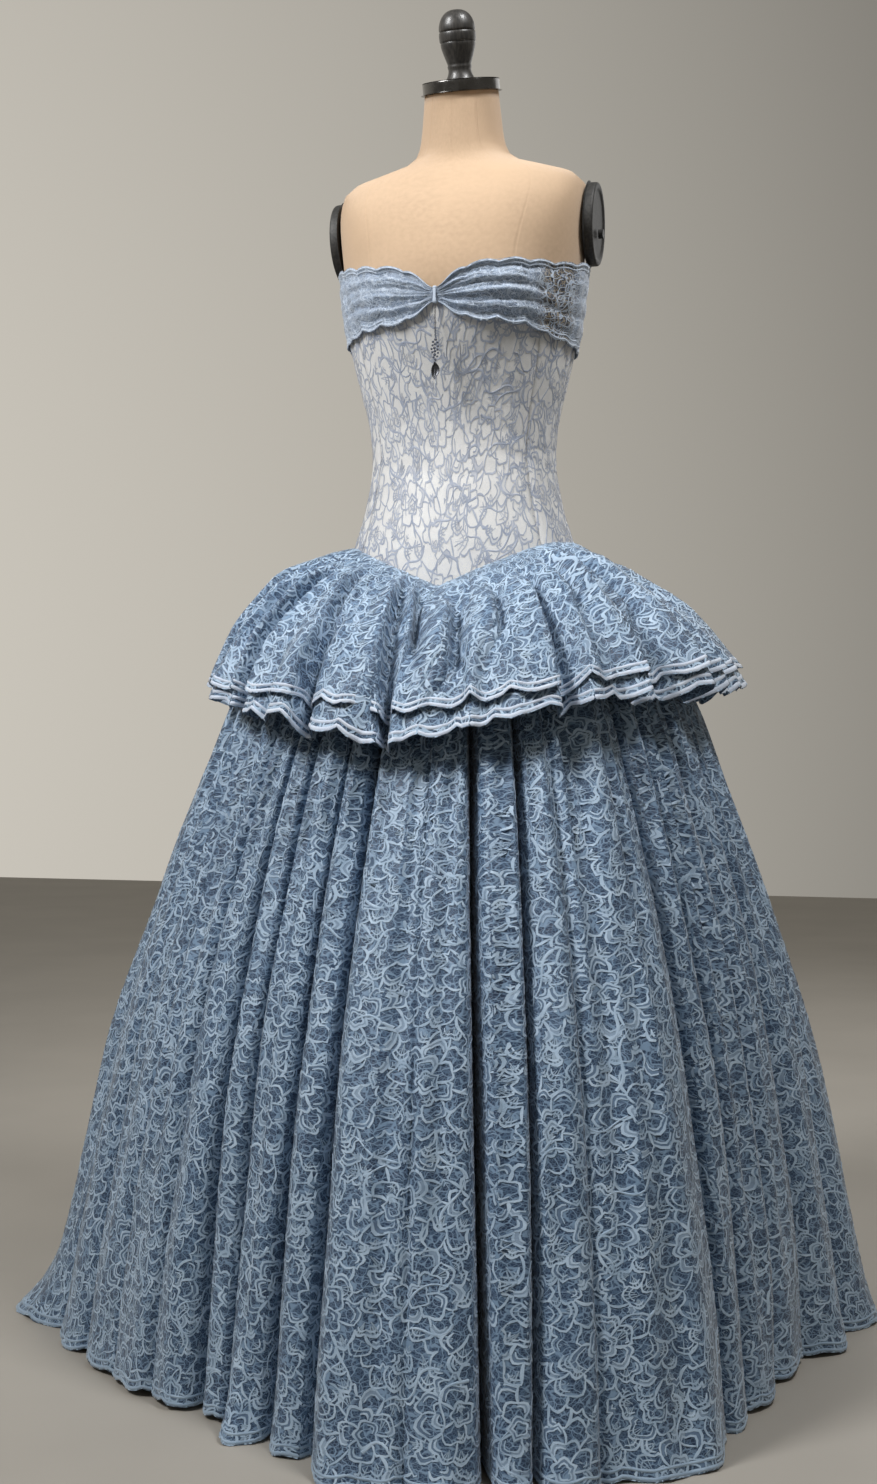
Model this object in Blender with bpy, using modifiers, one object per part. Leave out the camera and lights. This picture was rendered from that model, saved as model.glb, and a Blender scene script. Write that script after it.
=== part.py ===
"""Strapless lace ball gown on a limbless dress form that stands on the floor.

The gown faces -Y, +Z is up and lengths are metres. The origin is the centre of the
stand's base on the floor. Angles are degrees round the vertical axis from the centre
front: 0 is the front, 90 is the wearer's left (+X) and 180 is the centre back.
"""

import math

import bmesh
import bpy
from mathutils import Matrix, Vector

# Cloth walls and the gaps that keep the pieces apart.
SEAM_GAP = 0.0003
BODICE_WALL = 0.0020
BAND_WALL = 0.0018
PEPLUM_WALL = 0.0018
SKIRT_WALL = 0.0025

# Ease between the form and the bodice: close at the waist, looser over the bust.
WAIST_EASE = 0.0006
BUST_EASE = 0.0016
EASE_GROWS_FROM = 1.08
EASE_GROWS_OVER = 0.12

# The dress form, in level sections. The last three columns move a section forward,
# make it squarer than an oval (2 is an oval), and lean it forward as the neck does.
BODY_SECTIONS = (
    # height, half width, front, back, centre y, squareness, lean
    (0.800, 0.1640, 0.1130, 0.1230, 0.000, 2.0, 0.000),
    (0.850, 0.1590, 0.1120, 0.1190, 0.000, 2.0, 0.000),
    (0.900, 0.1490, 0.1080, 0.1120, 0.000, 2.0, 0.000),
    (0.950, 0.1350, 0.1020, 0.1040, 0.000, 2.0, 0.000),
    (1.000, 0.1205, 0.0930, 0.0950, 0.000, 2.0, 0.000),
    (1.050, 0.1125, 0.0860, 0.0890, 0.000, 2.0, 0.000),
    (1.100, 0.1155, 0.0880, 0.0910, 0.000, 2.0, 0.000),
    (1.150, 0.1270, 0.0990, 0.0960, 0.000, 2.0, 0.000),
    (1.210, 0.1403, 0.1180, 0.1018, 0.000, 2.0, 0.000),
    (1.245, 0.1455, 0.1240, 0.1040, 0.000, 2.0, 0.000),
    (1.275, 0.1485, 0.1225, 0.1050, 0.000, 2.0, 0.000),
    (1.300, 0.1505, 0.1165, 0.1055, 0.000, 2.1, 0.000),
    (1.330, 0.1530, 0.1060, 0.1050, 0.000, 2.3, 0.000),
    (1.360, 0.1550, 0.0930, 0.1010, 0.002, 2.5, 0.000),
    (1.382, 0.1535, 0.0810, 0.0935, 0.004, 2.5, 0.000),
    (1.397, 0.1460, 0.0730, 0.0860, 0.004, 2.4, 0.015),
    (1.4075, 0.1210, 0.0650, 0.0760, 0.003, 2.2, 0.035),
    (1.416, 0.0930, 0.0590, 0.0680, 0.001, 2.05, 0.070),
    (1.424, 0.0700, 0.0545, 0.0610, -0.001, 2.0, 0.110),
    (1.434, 0.0580, 0.0510, 0.0560, -0.003, 2.0, 0.150),
    (1.450, 0.0520, 0.0485, 0.0525, -0.005, 2.0, 0.200),
    (1.478, 0.0485, 0.0460, 0.0490, -0.007, 2.0, 0.260),
    (1.509, 0.0455, 0.0440, 0.0460, -0.010, 2.0, 0.306),
)
BUST_SWELL = 0.0045
BUST_ANGLE = 33.0
BUST_ANGLE_SPREAD = 15.0
BUST_HEIGHT = 1.240
BUST_HEIGHT_SPREAD = 0.042

# Heights of the waist seam and of the bust band's two edges, alike on both sides.
EDGE_HEIGHTS = (
    # angle from the front, waist seam, band bottom, band top
    (0.0, 0.8890, 1.2235, 1.2405),
    (1.5, 0.8905, 1.2235, 1.2405),
    (8.0, 0.898, 1.2130, 1.2530),
    (16.0, 0.907, 1.2065, 1.2625),
    (30.0, 0.921, 1.2040, 1.2700),
    (45.0, 0.934, 1.2010, 1.2770),
    (60.0, 0.943, 1.1930, 1.2830),
    (90.0, 0.948, 1.1880, 1.2870),
    (135.0, 0.946, 1.1860, 1.2880),
    (180.0, 0.942, 1.1850, 1.2880),
)

# The skirt's cone of cloth. A drop is the share of the way from the waist seam to the
# floor, and the next columns are how far the cloth has spread from the seam by then. It
# falls away more steeply over the left hip than over the right one.
SKIRT_SPREAD = (
    # drop, right side, left side, front, back, slow share, groove share, kick share
    (0.000, 0.0000, 0.0000, 0.0000, 0.0000, 0.00, 0.00, 0.00),
    (0.015, 0.0400, 0.0120, 0.0280, 0.0360, 0.02, 0.10, 0.00),
    (0.040, 0.0710, 0.0280, 0.0540, 0.0660, 0.04, 0.22, 0.00),
    (0.080, 0.1010, 0.0590, 0.0890, 0.1000, 0.07, 0.34, 0.00),
    (0.130, 0.1250, 0.1030, 0.1250, 0.1310, 0.10, 0.44, 0.00),
    (0.200, 0.1445, 0.1445, 0.1570, 0.1580, 0.15, 0.56, 0.00),
    (0.300, 0.1820, 0.1820, 0.1980, 0.2000, 0.22, 0.66, 0.00),
    (0.450, 0.2350, 0.2350, 0.2560, 0.2580, 0.36, 0.78, 0.00),
    (0.600, 0.2800, 0.2800, 0.3050, 0.3070, 0.52, 0.87, 0.00),
    (0.750, 0.3140, 0.3140, 0.3420, 0.3440, 0.70, 0.93, 0.00),
    (0.880, 0.3400, 0.3400, 0.3720, 0.3730, 0.87, 0.98, 0.04),
    (0.955, 0.3510, 0.3510, 0.3860, 0.3860, 0.96, 1.00, 0.40),
    (1.000, 0.3570, 0.3570, 0.3940, 0.3940, 1.00, 1.00, 1.00),
)
SKIRT_DROPS = (0.0, 0.035, 0.125, 0.26, 0.42, 0.60, 0.78, 0.92, 1.0)

# One row for each fold: where its groove lies at the hem, how far the groove has moved
# round by the waist, its depth, and how far out the crest after it stands at the hem.
# The kick is cloth that runs out over the floor, and a lifted hem hangs just above it.
SKIRT_FOLDS = (
    # angle, top shift, groove, crest out, kick, lift
    (-98.0, 0.0, 0.030, 0.006, 0.004, 0.000),
    (-86.0, 0.0, 0.016, 0.018, 0.045, 0.000),
    (-68.0, 2.0, 0.022, -0.014, 0.004, 0.000),
    (-57.0, 3.0, 0.028, -0.036, 0.000, 0.010),
    (-46.0, 3.0, 0.020, -0.048, 0.000, 0.013),
    (-36.0, 2.0, 0.026, -0.054, 0.000, 0.013),
    (-27.5, -1.5, 0.034, -0.078, 0.000, 0.010),
    (-20.5, -1.5, 0.032, -0.060, 0.022, 0.000),
    (-12.0, -1.0, 0.030, -0.048, 0.006, 0.000),
    (-4.5, -2.0, 0.044, 0.004, 0.010, 0.000),
    (8.5, -2.0, 0.012, 0.006, 0.010, 0.000),
    (17.2, -3.0, 0.038, 0.006, 0.008, 0.000),
    (22.8, 3.0, 0.026, 0.008, 0.008, 0.000),
    (30.5, 2.0, 0.018, 0.008, 0.010, 0.000),
    (51.0, 1.0, 0.034, -0.042, 0.000, 0.000),
    (58.0, 1.0, 0.028, -0.060, 0.000, 0.010),
    (70.0, 3.0, 0.030, -0.076, 0.000, 0.012),
    (84.0, 2.0, 0.030, -0.040, 0.004, 0.006),
    (97.0, 0.0, 0.034, 0.004, 0.012, 0.000),
    (112.0, 0.0, 0.028, 0.006, 0.010, 0.000),
    (128.0, 0.0, 0.034, -0.008, 0.004, 0.000),
    (144.0, 0.0, 0.026, 0.008, 0.008, 0.000),
    (161.0, 0.0, 0.036, 0.000, 0.006, 0.000),
    (180.0, 0.0, 0.024, 0.010, 0.012, 0.000),
    (197.0, 0.0, 0.034, -0.006, 0.004, 0.000),
    (213.0, 0.0, 0.028, 0.006, 0.008, 0.000),
    (230.0, 0.0, 0.036, -0.010, 0.004, 0.000),
    (246.0, 0.0, 0.026, 0.004, 0.008, 0.000),
)
SKIRT_PANELS = (
    # node, first groove, last groove
    ("skirt_front_right", -98.0, -27.5),
    ("skirt_front_centre", -27.5, 51.0),
    ("skirt_front_left", 51.0, 97.0),
    ("skirt_back_left", 97.0, 180.0),
    ("skirt_back_right", 180.0, 262.0),
)
CREST_ROUNDNESS = 0.8
NARROW_FOLD = 8.0
WIDE_FOLD_STEPS = (0.0, 0.12, 0.30, 0.50, 0.70, 0.88)
NARROW_FOLD_STEPS = (0.0, 0.18, 0.50, 0.82)

# The peplum's two gathered layers share their flutes, from one centre back to the other.
PEPLUM_FLUTES = (
    # angle, groove, crest out
    (-180.0, 0.020, 0.036),
    (-160.0, 0.022, 0.030),
    (-140.0, 0.026, 0.038),
    (-118.0, 0.022, 0.028),
    (-98.0, 0.014, 0.020),
    (-78.0, 0.011, 0.016),
    (-58.0, 0.012, 0.024),
    (-40.0, 0.018, 0.030),
    (-21.0, 0.022, 0.032),
    (-2.0, 0.027, 0.030),
    (14.0, 0.010, 0.034),
    (31.0, 0.020, 0.038),
    (57.0, 0.030, 0.030),
    (76.0, 0.022, 0.036),
    (94.0, 0.020, 0.058),
    (116.0, 0.028, 0.030),
    (136.0, 0.022, 0.036),
    (158.0, 0.022, 0.030),
)
FLUTE_GROWTH = (
    # drop, share of the flute
    (0.000, 0.00),
    (0.012, 0.06),
    (0.035, 0.20),
    (0.075, 0.46),
    (0.125, 0.78),
    (0.190, 1.00),
    (0.220, 1.05),
)
PEPLUM_UPPER_DROPS = (0.0, 0.012, 0.035, 0.075, 0.125, 0.190)
PEPLUM_LOWER_DROPS = (0.0, 0.035, 0.125, 0.212)
SCALLOP_DROP = 0.0075
LAYER_GAP_TOP = 0.0004
RING_GAP = 0.0013
LAYER_GAP_HEM = 0.0050
PUCKER_HEIGHT = 0.0022
PUCKER_FADES_BY = 0.080

# The bodice's panels, from one seam angle to the next.
BODICE_PANELS = (
    # node, first seam, last seam, columns
    ("bodice_back_right", -180.0, -130.0, 5),
    ("bodice_side_back_right", -130.0, -90.0, 4),
    ("bodice_side_front_right", -90.0, -54.0, 4),
    ("bodice_front", -54.0, 54.0, 12),
    ("bodice_side_front_left", 54.0, 90.0, 4),
    ("bodice_side_back_left", 90.0, 130.0, 4),
    ("bodice_back_left", 130.0, 180.0, 5),
)
BODICE_LEVELS = (1.00, 1.05, 1.10, 1.15, 1.21)
SEAM_ALLOWANCE = 0.008
BAND_ABOVE_BODICE = 0.010
ZIP_WIDTH = 0.0030

# The bust band, gathered into a loop at the centre front.
BAND_FRONT_STEP = 6.0
BAND_BACK_STEP = 10.0
BAND_FRONT_ENDS = 60.0
BAND_GATHER_ENDS = 1.5
BAND_FOLDS = 4
BAND_CLEARANCE = 0.0008
BAND_RUCHE = (
    # angle from the front, depth of the ruching
    (0.0, 0.0000),
    (2.0, 0.0000),
    (8.0, 0.0034),
    (30.0, 0.0038),
    (55.0, 0.0018),
    (90.0, 0.0010),
    (180.0, 0.0008),
)
BAND_SCALLOP = 0.0025
CENTRE_STAND = 0.0014
CENTRE_STAND_SPREAD = 6.0
LOOSE_STAND = 0.0050
LOOSE_ANGLE = 74.0
LOOSE_SPREAD = 14.0
LOOP_WIDTH = 0.0040
LOOP_THICKNESS = 0.0012
LOOP_CLEARANCE = 0.0004

# The pendant that hangs from the loop.
PENDANT_GAP = 0.0007
CHAIN_RADIUS = 0.0008
CHAIN_LENGTH = 0.068
CHARM_HALF_WIDTH = 0.0055
CHARM_HALF_DEPTH = 0.0020
CHARM_HALF_HEIGHT = 0.0100

# The zip's slider and pull tab at the centre back.
SLIDER_HEIGHT = 1.276
SLIDER_SIZE = (0.0060, 0.0026, 0.0100)
SLIDER_CLEARANCE = 0.0006
TAB_SIZE = (0.0050, 0.0010, 0.0230)
TAB_HINGE_STANDOFF = 0.0014
TAB_ABOVE_HINGE = 0.0010

# The stand and the form's metal and wooden fittings.
BASE_RADIUS = 0.165
BASE_THICKNESS = 0.028
BASE_EDGE = 0.005
POLE_RADIUS = 0.014
TORSO_BOTTOM = BODY_SECTIONS[0][0]
NECK_TOP = BODY_SECTIONS[-1]
CAP_RADIUS = 0.0475
CAP_THICKNESS = 0.0140
CAP_EDGE = 0.0012
FINIAL_PROFILE = (
    # radius, height above the cap
    (0.0000, 0.0823),
    (0.0110, 0.0804),
    (0.0180, 0.0739),
    (0.0215, 0.0636),
    (0.0222, 0.0589),
    (0.0204, 0.0575),
    (0.0222, 0.0561),
    (0.0225, 0.0505),
    (0.0220, 0.0449),
    (0.0202, 0.0435),
    (0.0212, 0.0421),
    (0.0185, 0.0309),
    (0.0145, 0.0187),
    (0.0142, 0.0131),
    (0.0162, 0.0056),
    (0.0172, 0.0000),
    (0.0000, 0.0000),
)
PLATE_CENTRE = (0.1547, 0.0150, 1.3420)
PLATE_HALF_DEPTH = 0.0430
PLATE_HALF_HEIGHT = 0.0500
PLATE_THICKNESS = 0.0120
PLATE_EDGE = 0.0020
PLATE_TILT = 2.0
SCREW_RADIUS = 0.0055
SCREW_LENGTH = 0.0060
SCREW_DROP = 0.0120

COLOURS = {
    # finish: (red, green, blue), roughness, metallic
    "blue_lace": ((0.36, 0.50, 0.66), 0.60, 0.0),
    "white_lace": ((0.80, 0.81, 0.84), 0.50, 0.0),
    "band_lace": ((0.38, 0.48, 0.64), 0.60, 0.0),
    "linen": ((0.70, 0.55, 0.42), 0.85, 0.0),
    "dark_wood": ((0.07, 0.07, 0.07), 0.45, 0.0),
    "dark_metal": ((0.10, 0.10, 0.10), 0.40, 0.9),
    "steel": ((0.45, 0.45, 0.46), 0.35, 1.0),
    "iron": ((0.05, 0.05, 0.05), 0.60, 0.6),
}


def clear_scene():
    for thing in list(bpy.data.objects):
        bpy.data.objects.remove(thing)


def make_finish(name):
    colour, roughness, metallic = COLOURS[name]
    finish = bpy.data.materials.new(name)
    finish.use_nodes = True
    shader = finish.node_tree.nodes["Principled BSDF"]
    shader.inputs["Base Color"].default_value = (*colour, 1.0)
    shader.inputs["Roughness"].default_value = roughness
    shader.inputs["Metallic"].default_value = metallic
    finish.diffuse_color = (*colour, 1.0)
    return finish


def read_rows(rows, position):
    """Read a table's other columns at a position on a smooth curve through its rows."""
    last = len(rows) - 1
    if position <= rows[0][0]:
        return rows[0][1:]
    if position >= rows[last][0]:
        return rows[last][1:]
    low = max(i for i in range(last) if rows[i][0] <= position)
    before, start, end, after = (rows[min(max(low + k, 0), last)] for k in (-1, 0, 1, 2))
    span = end[0] - start[0]
    u = (position - start[0]) / span
    values = []
    for column in range(1, len(start)):
        rise = (end[column] - start[column]) / span
        slope_in = rise
        if low > 0:
            slope_in = (end[column] - before[column]) / (end[0] - before[0])
        slope_out = rise
        if low + 1 < last:
            slope_out = (after[column] - start[column]) / (after[0] - start[0])
        values.append(
            (2 * u ** 3 - 3 * u ** 2 + 1) * start[column]
            + (u ** 3 - 2 * u ** 2 + u) * span * slope_in
            + (3 * u ** 2 - 2 * u ** 3) * end[column]
            + (u ** 3 - u ** 2) * span * slope_out
        )
    return values


def mix(start, end, share):
    return start + (end - start) * share


def from_front(angle):
    """The angle from the centre front, from 0 to 180 on either side."""
    return abs((angle + 180.0) % 360.0 - 180.0)


def bell(distance, spread):
    return math.exp(-(distance / spread) ** 2)


def seam_height(angle):
    return read_rows(EDGE_HEIGHTS, from_front(angle))[0]


def outward(angle, half_width, depth):
    """The level direction square to an oval at an angle."""
    turn = math.radians(angle)
    return Vector((depth * math.sin(turn), -half_width * math.cos(turn), 0.0)).normalized()


def body_point(angle, height, offset=0.0):
    """A point a given distance outside the dress form's surface."""
    half_width, front, back, centre_y, squareness, lean = read_rows(BODY_SECTIONS, height)
    turn = math.radians(angle)
    depth = front if math.cos(turn) > 0 else back
    across = math.copysign(abs(math.sin(turn)) ** (2 / squareness), math.sin(turn))
    along = -math.copysign(abs(math.cos(turn)) ** (2 / squareness), math.cos(turn))
    swell = BUST_SWELL * bell(from_front(angle) - BUST_ANGLE, BUST_ANGLE_SPREAD)
    swell *= bell(height - BUST_HEIGHT, BUST_HEIGHT_SPREAD)
    point = Vector((half_width * across, depth * along, 0.0))
    point += outward(angle, half_width, depth) * (offset + swell)
    return Vector((point.x, point.y + centre_y, height + lean * point.y))


def bodice_ease(height):
    share = min(max((height - EASE_GROWS_FROM) / EASE_GROWS_OVER, 0.0), 1.0)
    return mix(WAIST_EASE, BUST_EASE, share)


def seam_ring(angle):
    """Where the gathered layers meet the bodice along the waist seam."""
    height = seam_height(angle)
    return body_point(angle, height, bodice_ease(height) + BODICE_WALL + RING_GAP)


def spread_point(angle, drop):
    """The skirt's smooth cone, before its folds, and the level way out of it."""
    right, left, front, back = read_rows(SKIRT_SPREAD, drop)[:4]
    turn = math.radians(angle)
    side = mix(right, left, max(math.sin(turn), 0.0) ** 2)
    reach = front if math.cos(turn) > 0 else back
    point = seam_ring(angle) + Vector((side * math.sin(turn), -reach * math.cos(turn), 0.0))
    point.z = seam_height(angle) * (1.0 - drop)
    half_width, depth = read_rows(BODY_SECTIONS, seam_height(angle))[:2]
    return point, outward(angle, half_width + side, depth + reach)


def crest_shape(u):
    """From 0 in the groove at either side of a fold to 1 on its crest."""
    return math.sin(math.pi * u) ** CREST_ROUNDNESS


def fold_value(folds, index, u, column):
    """A crest's own value at its middle, and the mean of two crests in the groove between."""
    own = folds[index][column]
    neighbour = folds[(index + (1 if u > 0.5 else -1)) % len(folds)][column]
    return mix(own, (own + neighbour) / 2, (2 * abs(u - 0.5)) ** 2)


def groove_value(folds, index, u, column):
    after = folds[(index + 1) % len(folds)][column]
    return mix(folds[index][column], after, u)


def fold_angle(folds, index, u):
    start = folds[index][0]
    end = folds[(index + 1) % len(folds)][0]
    if end <= start:
        end += 360.0
    return mix(start, end, u)


def skirt_point(index, u, drop):
    """A point of the skirt's outer face on one fold."""
    slow, groove_share, kick_share = read_rows(SKIRT_SPREAD, drop)[4:]
    angle = fold_angle(SKIRT_FOLDS, index, u)
    angle += groove_value(SKIRT_FOLDS, index, u, 1) * (1.0 - drop)
    point, way_out = spread_point(angle, drop)
    groove = groove_value(SKIRT_FOLDS, index, u, 2) * (1.0 - crest_shape(u))
    reach = slow * fold_value(SKIRT_FOLDS, index, u, 3) - groove_share * groove
    reach += kick_share * fold_value(SKIRT_FOLDS, index, u, 4) * crest_shape(u)
    point += way_out * reach
    point.z += drop * fold_value(SKIRT_FOLDS, index, u, 5)
    return point


def fold_steps(folds, index):
    span = fold_angle(folds, index, 1.0) - fold_angle(folds, index, 0.0)
    return NARROW_FOLD_STEPS if span < NARROW_FOLD else WIDE_FOLD_STEPS


def fold_columns(folds, first, last):
    """The (fold, place in it) pairs from one groove to another."""
    columns = []
    index = next(i for i, fold in enumerate(folds) if fold[0] == first)
    while True:
        columns += [(index, u) for u in fold_steps(folds, index)]
        if fold_angle(folds, index, 1.0) % 360.0 == last % 360.0:
            return columns + [(index, 1.0)]
        index = (index + 1) % len(folds)


def grid_normals(grid):
    """The way out at each point of a grid of [row][column] points.

    At a panel's side edges it has no part that runs round the axis, so that two panels
    which meet in a groove don't cross.
    """
    last_row = len(grid) - 1
    last_column = len(grid[0]) - 1
    normals = []
    for i, row in enumerate(grid):
        line = []
        for j in range(len(row)):
            if 0 < j < last_column:
                across = row[j + 1] - row[j - 1]
            else:
                across = Vector((-row[j].y, row[j].x, 0.0))
            down = grid[min(i + 1, last_row)][j] - grid[max(i - 1, 0)][j]
            line.append(down.cross(across).normalized())
        normals.append(line)
    return normals


def moved_grid(grid, distance):
    """A grid moved out along its own normals; its first row moves straight up."""
    normals = grid_normals(grid)
    up = Vector((0.0, 0.0, 1.0))
    moved = [[point + up * distance for point in grid[0]]]
    for row, line in zip(grid[1:], normals[1:]):
        moved.append([point + normal * distance for point, normal in zip(row, line)])
    return moved


def part_seam_ends(grid):
    """Draw a panel's two side edges in by half a seam gap."""
    for row in grid:
        for end, inner in ((0, 1), (-1, -2)):
            level = row[inner] - row[end]
            row[end] = row[end] + level.normalized() * SEAM_GAP / 2
    return grid


def add_object(name, mesh, finish, collection):
    mesh.materials.append(finish)
    thing = bpy.data.objects.new(name, mesh)
    collection.objects.link(thing)
    return thing


def smooth_mesh(name, shape, sharp_angle=math.radians(40)):
    """Finish a bmesh as a mesh with smooth shading and its true edges sharp."""
    bmesh.ops.recalc_face_normals(shape, faces=shape.faces)
    mesh = bpy.data.meshes.new(name)
    shape.to_mesh(mesh)
    shape.free()
    mesh.shade_smooth()
    mesh.set_sharp_from_angle(angle=sharp_angle)
    return mesh


def wall_solid(name, outer, inner, finish, collection):
    """A closed cloth wall between two matching grids of points."""
    shape = bmesh.new()
    faces = [[[shape.verts.new(point) for point in row] for row in grid] for grid in (outer, inner)]
    last_row = len(outer) - 1
    last_column = len(outer[0]) - 1
    for grid in faces:
        for i in range(last_row):
            for j in range(last_column):
                shape.faces.new((grid[i][j], grid[i + 1][j], grid[i + 1][j + 1], grid[i][j + 1]))
    front, back = faces
    for i in (0, last_row):
        for j in range(last_column):
            shape.faces.new((front[i][j], front[i][j + 1], back[i][j + 1], back[i][j]))
    for j in (0, last_column):
        for i in range(last_row):
            shape.faces.new((front[i][j], front[i + 1][j], back[i + 1][j], back[i][j]))
    return add_object(name, smooth_mesh(name, shape), finish, collection)


def build_skirt(finish, collection):
    """Five gathered panels, each sewn to the next down the bottom of a deep fold."""
    for name, first, last in SKIRT_PANELS:
        columns = fold_columns(SKIRT_FOLDS, first, last)
        outer = [[skirt_point(i, u, drop) for i, u in columns] for drop in SKIRT_DROPS]
        outer = part_seam_ends(outer)
        inner = moved_grid(outer, -SKIRT_WALL)
        for j, normal in enumerate(grid_normals(outer)[-1]):
            level = Vector((normal.x, normal.y, 0.0))
            inner[-1][j] = outer[-1][j] - level * (SKIRT_WALL / level.length_squared)
        wall_solid(name, outer, inner, finish, collection)


def cone_normal(angle, drop):
    """The way square out of the skirt's smooth cone, straight up at the seam."""
    if drop == 0.0:
        return Vector((0.0, 0.0, 1.0))
    step = 0.004
    turn = 1.0
    down = spread_point(angle, drop + step)[0] - spread_point(angle, drop - step)[0]
    across = spread_point(angle + turn, drop)[0] - spread_point(angle - turn, drop)[0]
    return down.cross(across).normalized()


def peplum_point(index, u, drop):
    """A point of the inner face of the peplum's lower layer."""
    angle = fold_angle(PEPLUM_FLUTES, index, u)
    groove = groove_value(PEPLUM_FLUTES, index, u, 1) * (1.0 - crest_shape(u))
    flute = fold_value(PEPLUM_FLUTES, index, u, 2) - groove
    share = read_rows(FLUTE_GROWTH, drop)[0]
    gap = mix(LAYER_GAP_TOP, LAYER_GAP_HEM, share)
    return spread_point(angle, drop)[0] + cone_normal(angle, drop) * (gap + share * flute)


def scalloped_drop(drop, hem_drop, u):
    """The hem rises to a notch twice in each flute."""
    notch = u in (0.0, 0.5, 1.0)
    return drop - SCALLOP_DROP if drop == hem_drop and notch else drop


def peplum_grid(drops, columns):
    grid = []
    for drop in drops:
        row = [peplum_point(i, u, scalloped_drop(drop, drops[-1], u)) for i, u in columns]
        grid.append(row)
    return part_seam_ends(grid)


def build_peplum(finish, collection):
    """Two gathered lace layers, open at the centre back, one lying on the other."""
    columns = fold_columns(PEPLUM_FLUTES, -180.0, 180.0)
    inner = peplum_grid(PEPLUM_LOWER_DROPS, columns)
    wall_solid("peplum_lower", moved_grid(inner, PEPLUM_WALL), inner, finish, collection)

    base = peplum_grid(PEPLUM_UPPER_DROPS, columns)
    normals = grid_normals(base)
    inner = []
    for drop, row, line in zip(PEPLUM_UPPER_DROPS, base, normals):
        share = read_rows(FLUTE_GROWTH, drop)[0]
        fade = max(1.0 - drop / PUCKER_FADES_BY, 0.0) if drop > 0.0 else 0.0
        points = []
        for j, (point, normal) in enumerate(zip(row, line)):
            way = normal if drop > 0.0 else Vector((0.0, 0.0, 1.0))
            pucker = PUCKER_HEIGHT * fade * (j % 2)
            gap = mix(LAYER_GAP_TOP, LAYER_GAP_HEM, share)
            points.append(point + way * (PEPLUM_WALL + gap + pucker))
        inner.append(points)
    wall_solid("peplum_upper", moved_grid(inner, PEPLUM_WALL), inner, finish, collection)


def bodice_heights(angle):
    """The heights of a bodice panel's rows at an angle, from its lower edge up."""
    seam = seam_height(angle)
    top = read_rows(EDGE_HEIGHTS, from_front(angle))[2] - BAND_ABOVE_BODICE
    above_seam = seam + SEAM_ALLOWANCE
    middle = mix(above_seam, BODICE_LEVELS[0], 0.5)
    near_top = mix(BODICE_LEVELS[-1], top, 0.5)
    return (seam - SEAM_ALLOWANCE, seam, above_seam, middle, *BODICE_LEVELS, near_top, top)


def shell_grid(angles, side_gaps, offset_of):
    """Bodice-shaped points at a list of angles, each moved round by its own level gap."""
    rows = len(bodice_heights(angles[0]))
    grid = []
    for i in range(rows):
        row = []
        for angle, gap in zip(angles, side_gaps):
            height = bodice_heights(angle)[i]
            point = body_point(angle, height, offset_of(height))
            turn = math.radians(angle)
            row.append(point + Vector((math.cos(turn), math.sin(turn), 0.0)) * gap)
        grid.append(row)
    return grid


def bodice_outer_offset(height):
    return bodice_ease(height) + BODICE_WALL


def build_bodice(finish, collection):
    """Princess-cut panels with a zip between the two backs."""
    for name, first, last, columns in BODICE_PANELS:
        angles = [mix(first, last, k / columns) for k in range(columns + 1)]
        gaps = [0.0] * (columns + 1)
        gaps[0] = SEAM_GAP / 2 if first > -180.0 else ZIP_WIDTH / 2 + SEAM_GAP
        gaps[-1] = -SEAM_GAP / 2 if last < 180.0 else -ZIP_WIDTH / 2 - SEAM_GAP
        outer = shell_grid(angles, gaps, bodice_outer_offset)
        inner = shell_grid(angles, gaps, bodice_ease)
        wall_solid(name, outer, inner, finish, collection)


def build_zip(finish, collection):
    """The closed zip between the bodice backs, its slider and its pull tab."""
    angles = [180.0, 180.0]
    gaps = [-ZIP_WIDTH / 2, ZIP_WIDTH / 2]
    outer = shell_grid(angles, gaps, bodice_outer_offset)
    inner = shell_grid(angles, gaps, bodice_ease)
    wall_solid("zip_chain", outer, inner, finish, collection)

    width, thickness, height = SLIDER_SIZE
    band_face = body_point(180.0, SLIDER_HEIGHT, band_offset(180.0, 1.0) + BAND_WALL).y
    slider_face = band_face + SLIDER_CLEARANCE + thickness
    centre = (0.0, slider_face - thickness / 2, SLIDER_HEIGHT)
    box_object("zip_slider", (width, thickness, height), centre, finish, collection)

    width, thickness, height = TAB_SIZE
    hinge = Vector((0.0, slider_face + TAB_HINGE_STANDOFF, SLIDER_HEIGHT))
    hinge.z += SLIDER_SIZE[2] / 4
    tab = box_object("zip_pull_tab", TAB_SIZE, hinge, finish, collection)
    tab.data.transform(Matrix.Translation((0.0, 0.0, TAB_ABOVE_HINGE - height / 2)))


def box_object(name, size, centre, finish, collection):
    shape = bmesh.new()
    bmesh.ops.create_cube(shape, size=1.0)
    bmesh.ops.scale(shape, vec=size, verts=shape.verts)
    thing = add_object(name, smooth_mesh(name, shape), finish, collection)
    thing.location = centre
    return thing


def band_offset(angle, v):
    """How far the bust band's inner face stands off the form."""
    around = from_front(angle)
    ruche = read_rows(BAND_RUCHE, around)[0]
    wave = ruche * (0.5 + 0.5 * math.cos(2 * math.pi * BAND_FOLDS * v))
    stand = CENTRE_STAND * bell(around, CENTRE_STAND_SPREAD)
    loose = LOOSE_STAND * bell(angle - LOOSE_ANGLE, LOOSE_SPREAD) * math.sin(math.pi * v / 2)
    return BUST_EASE + BODICE_WALL + BAND_CLEARANCE + wave + stand + loose


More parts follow.
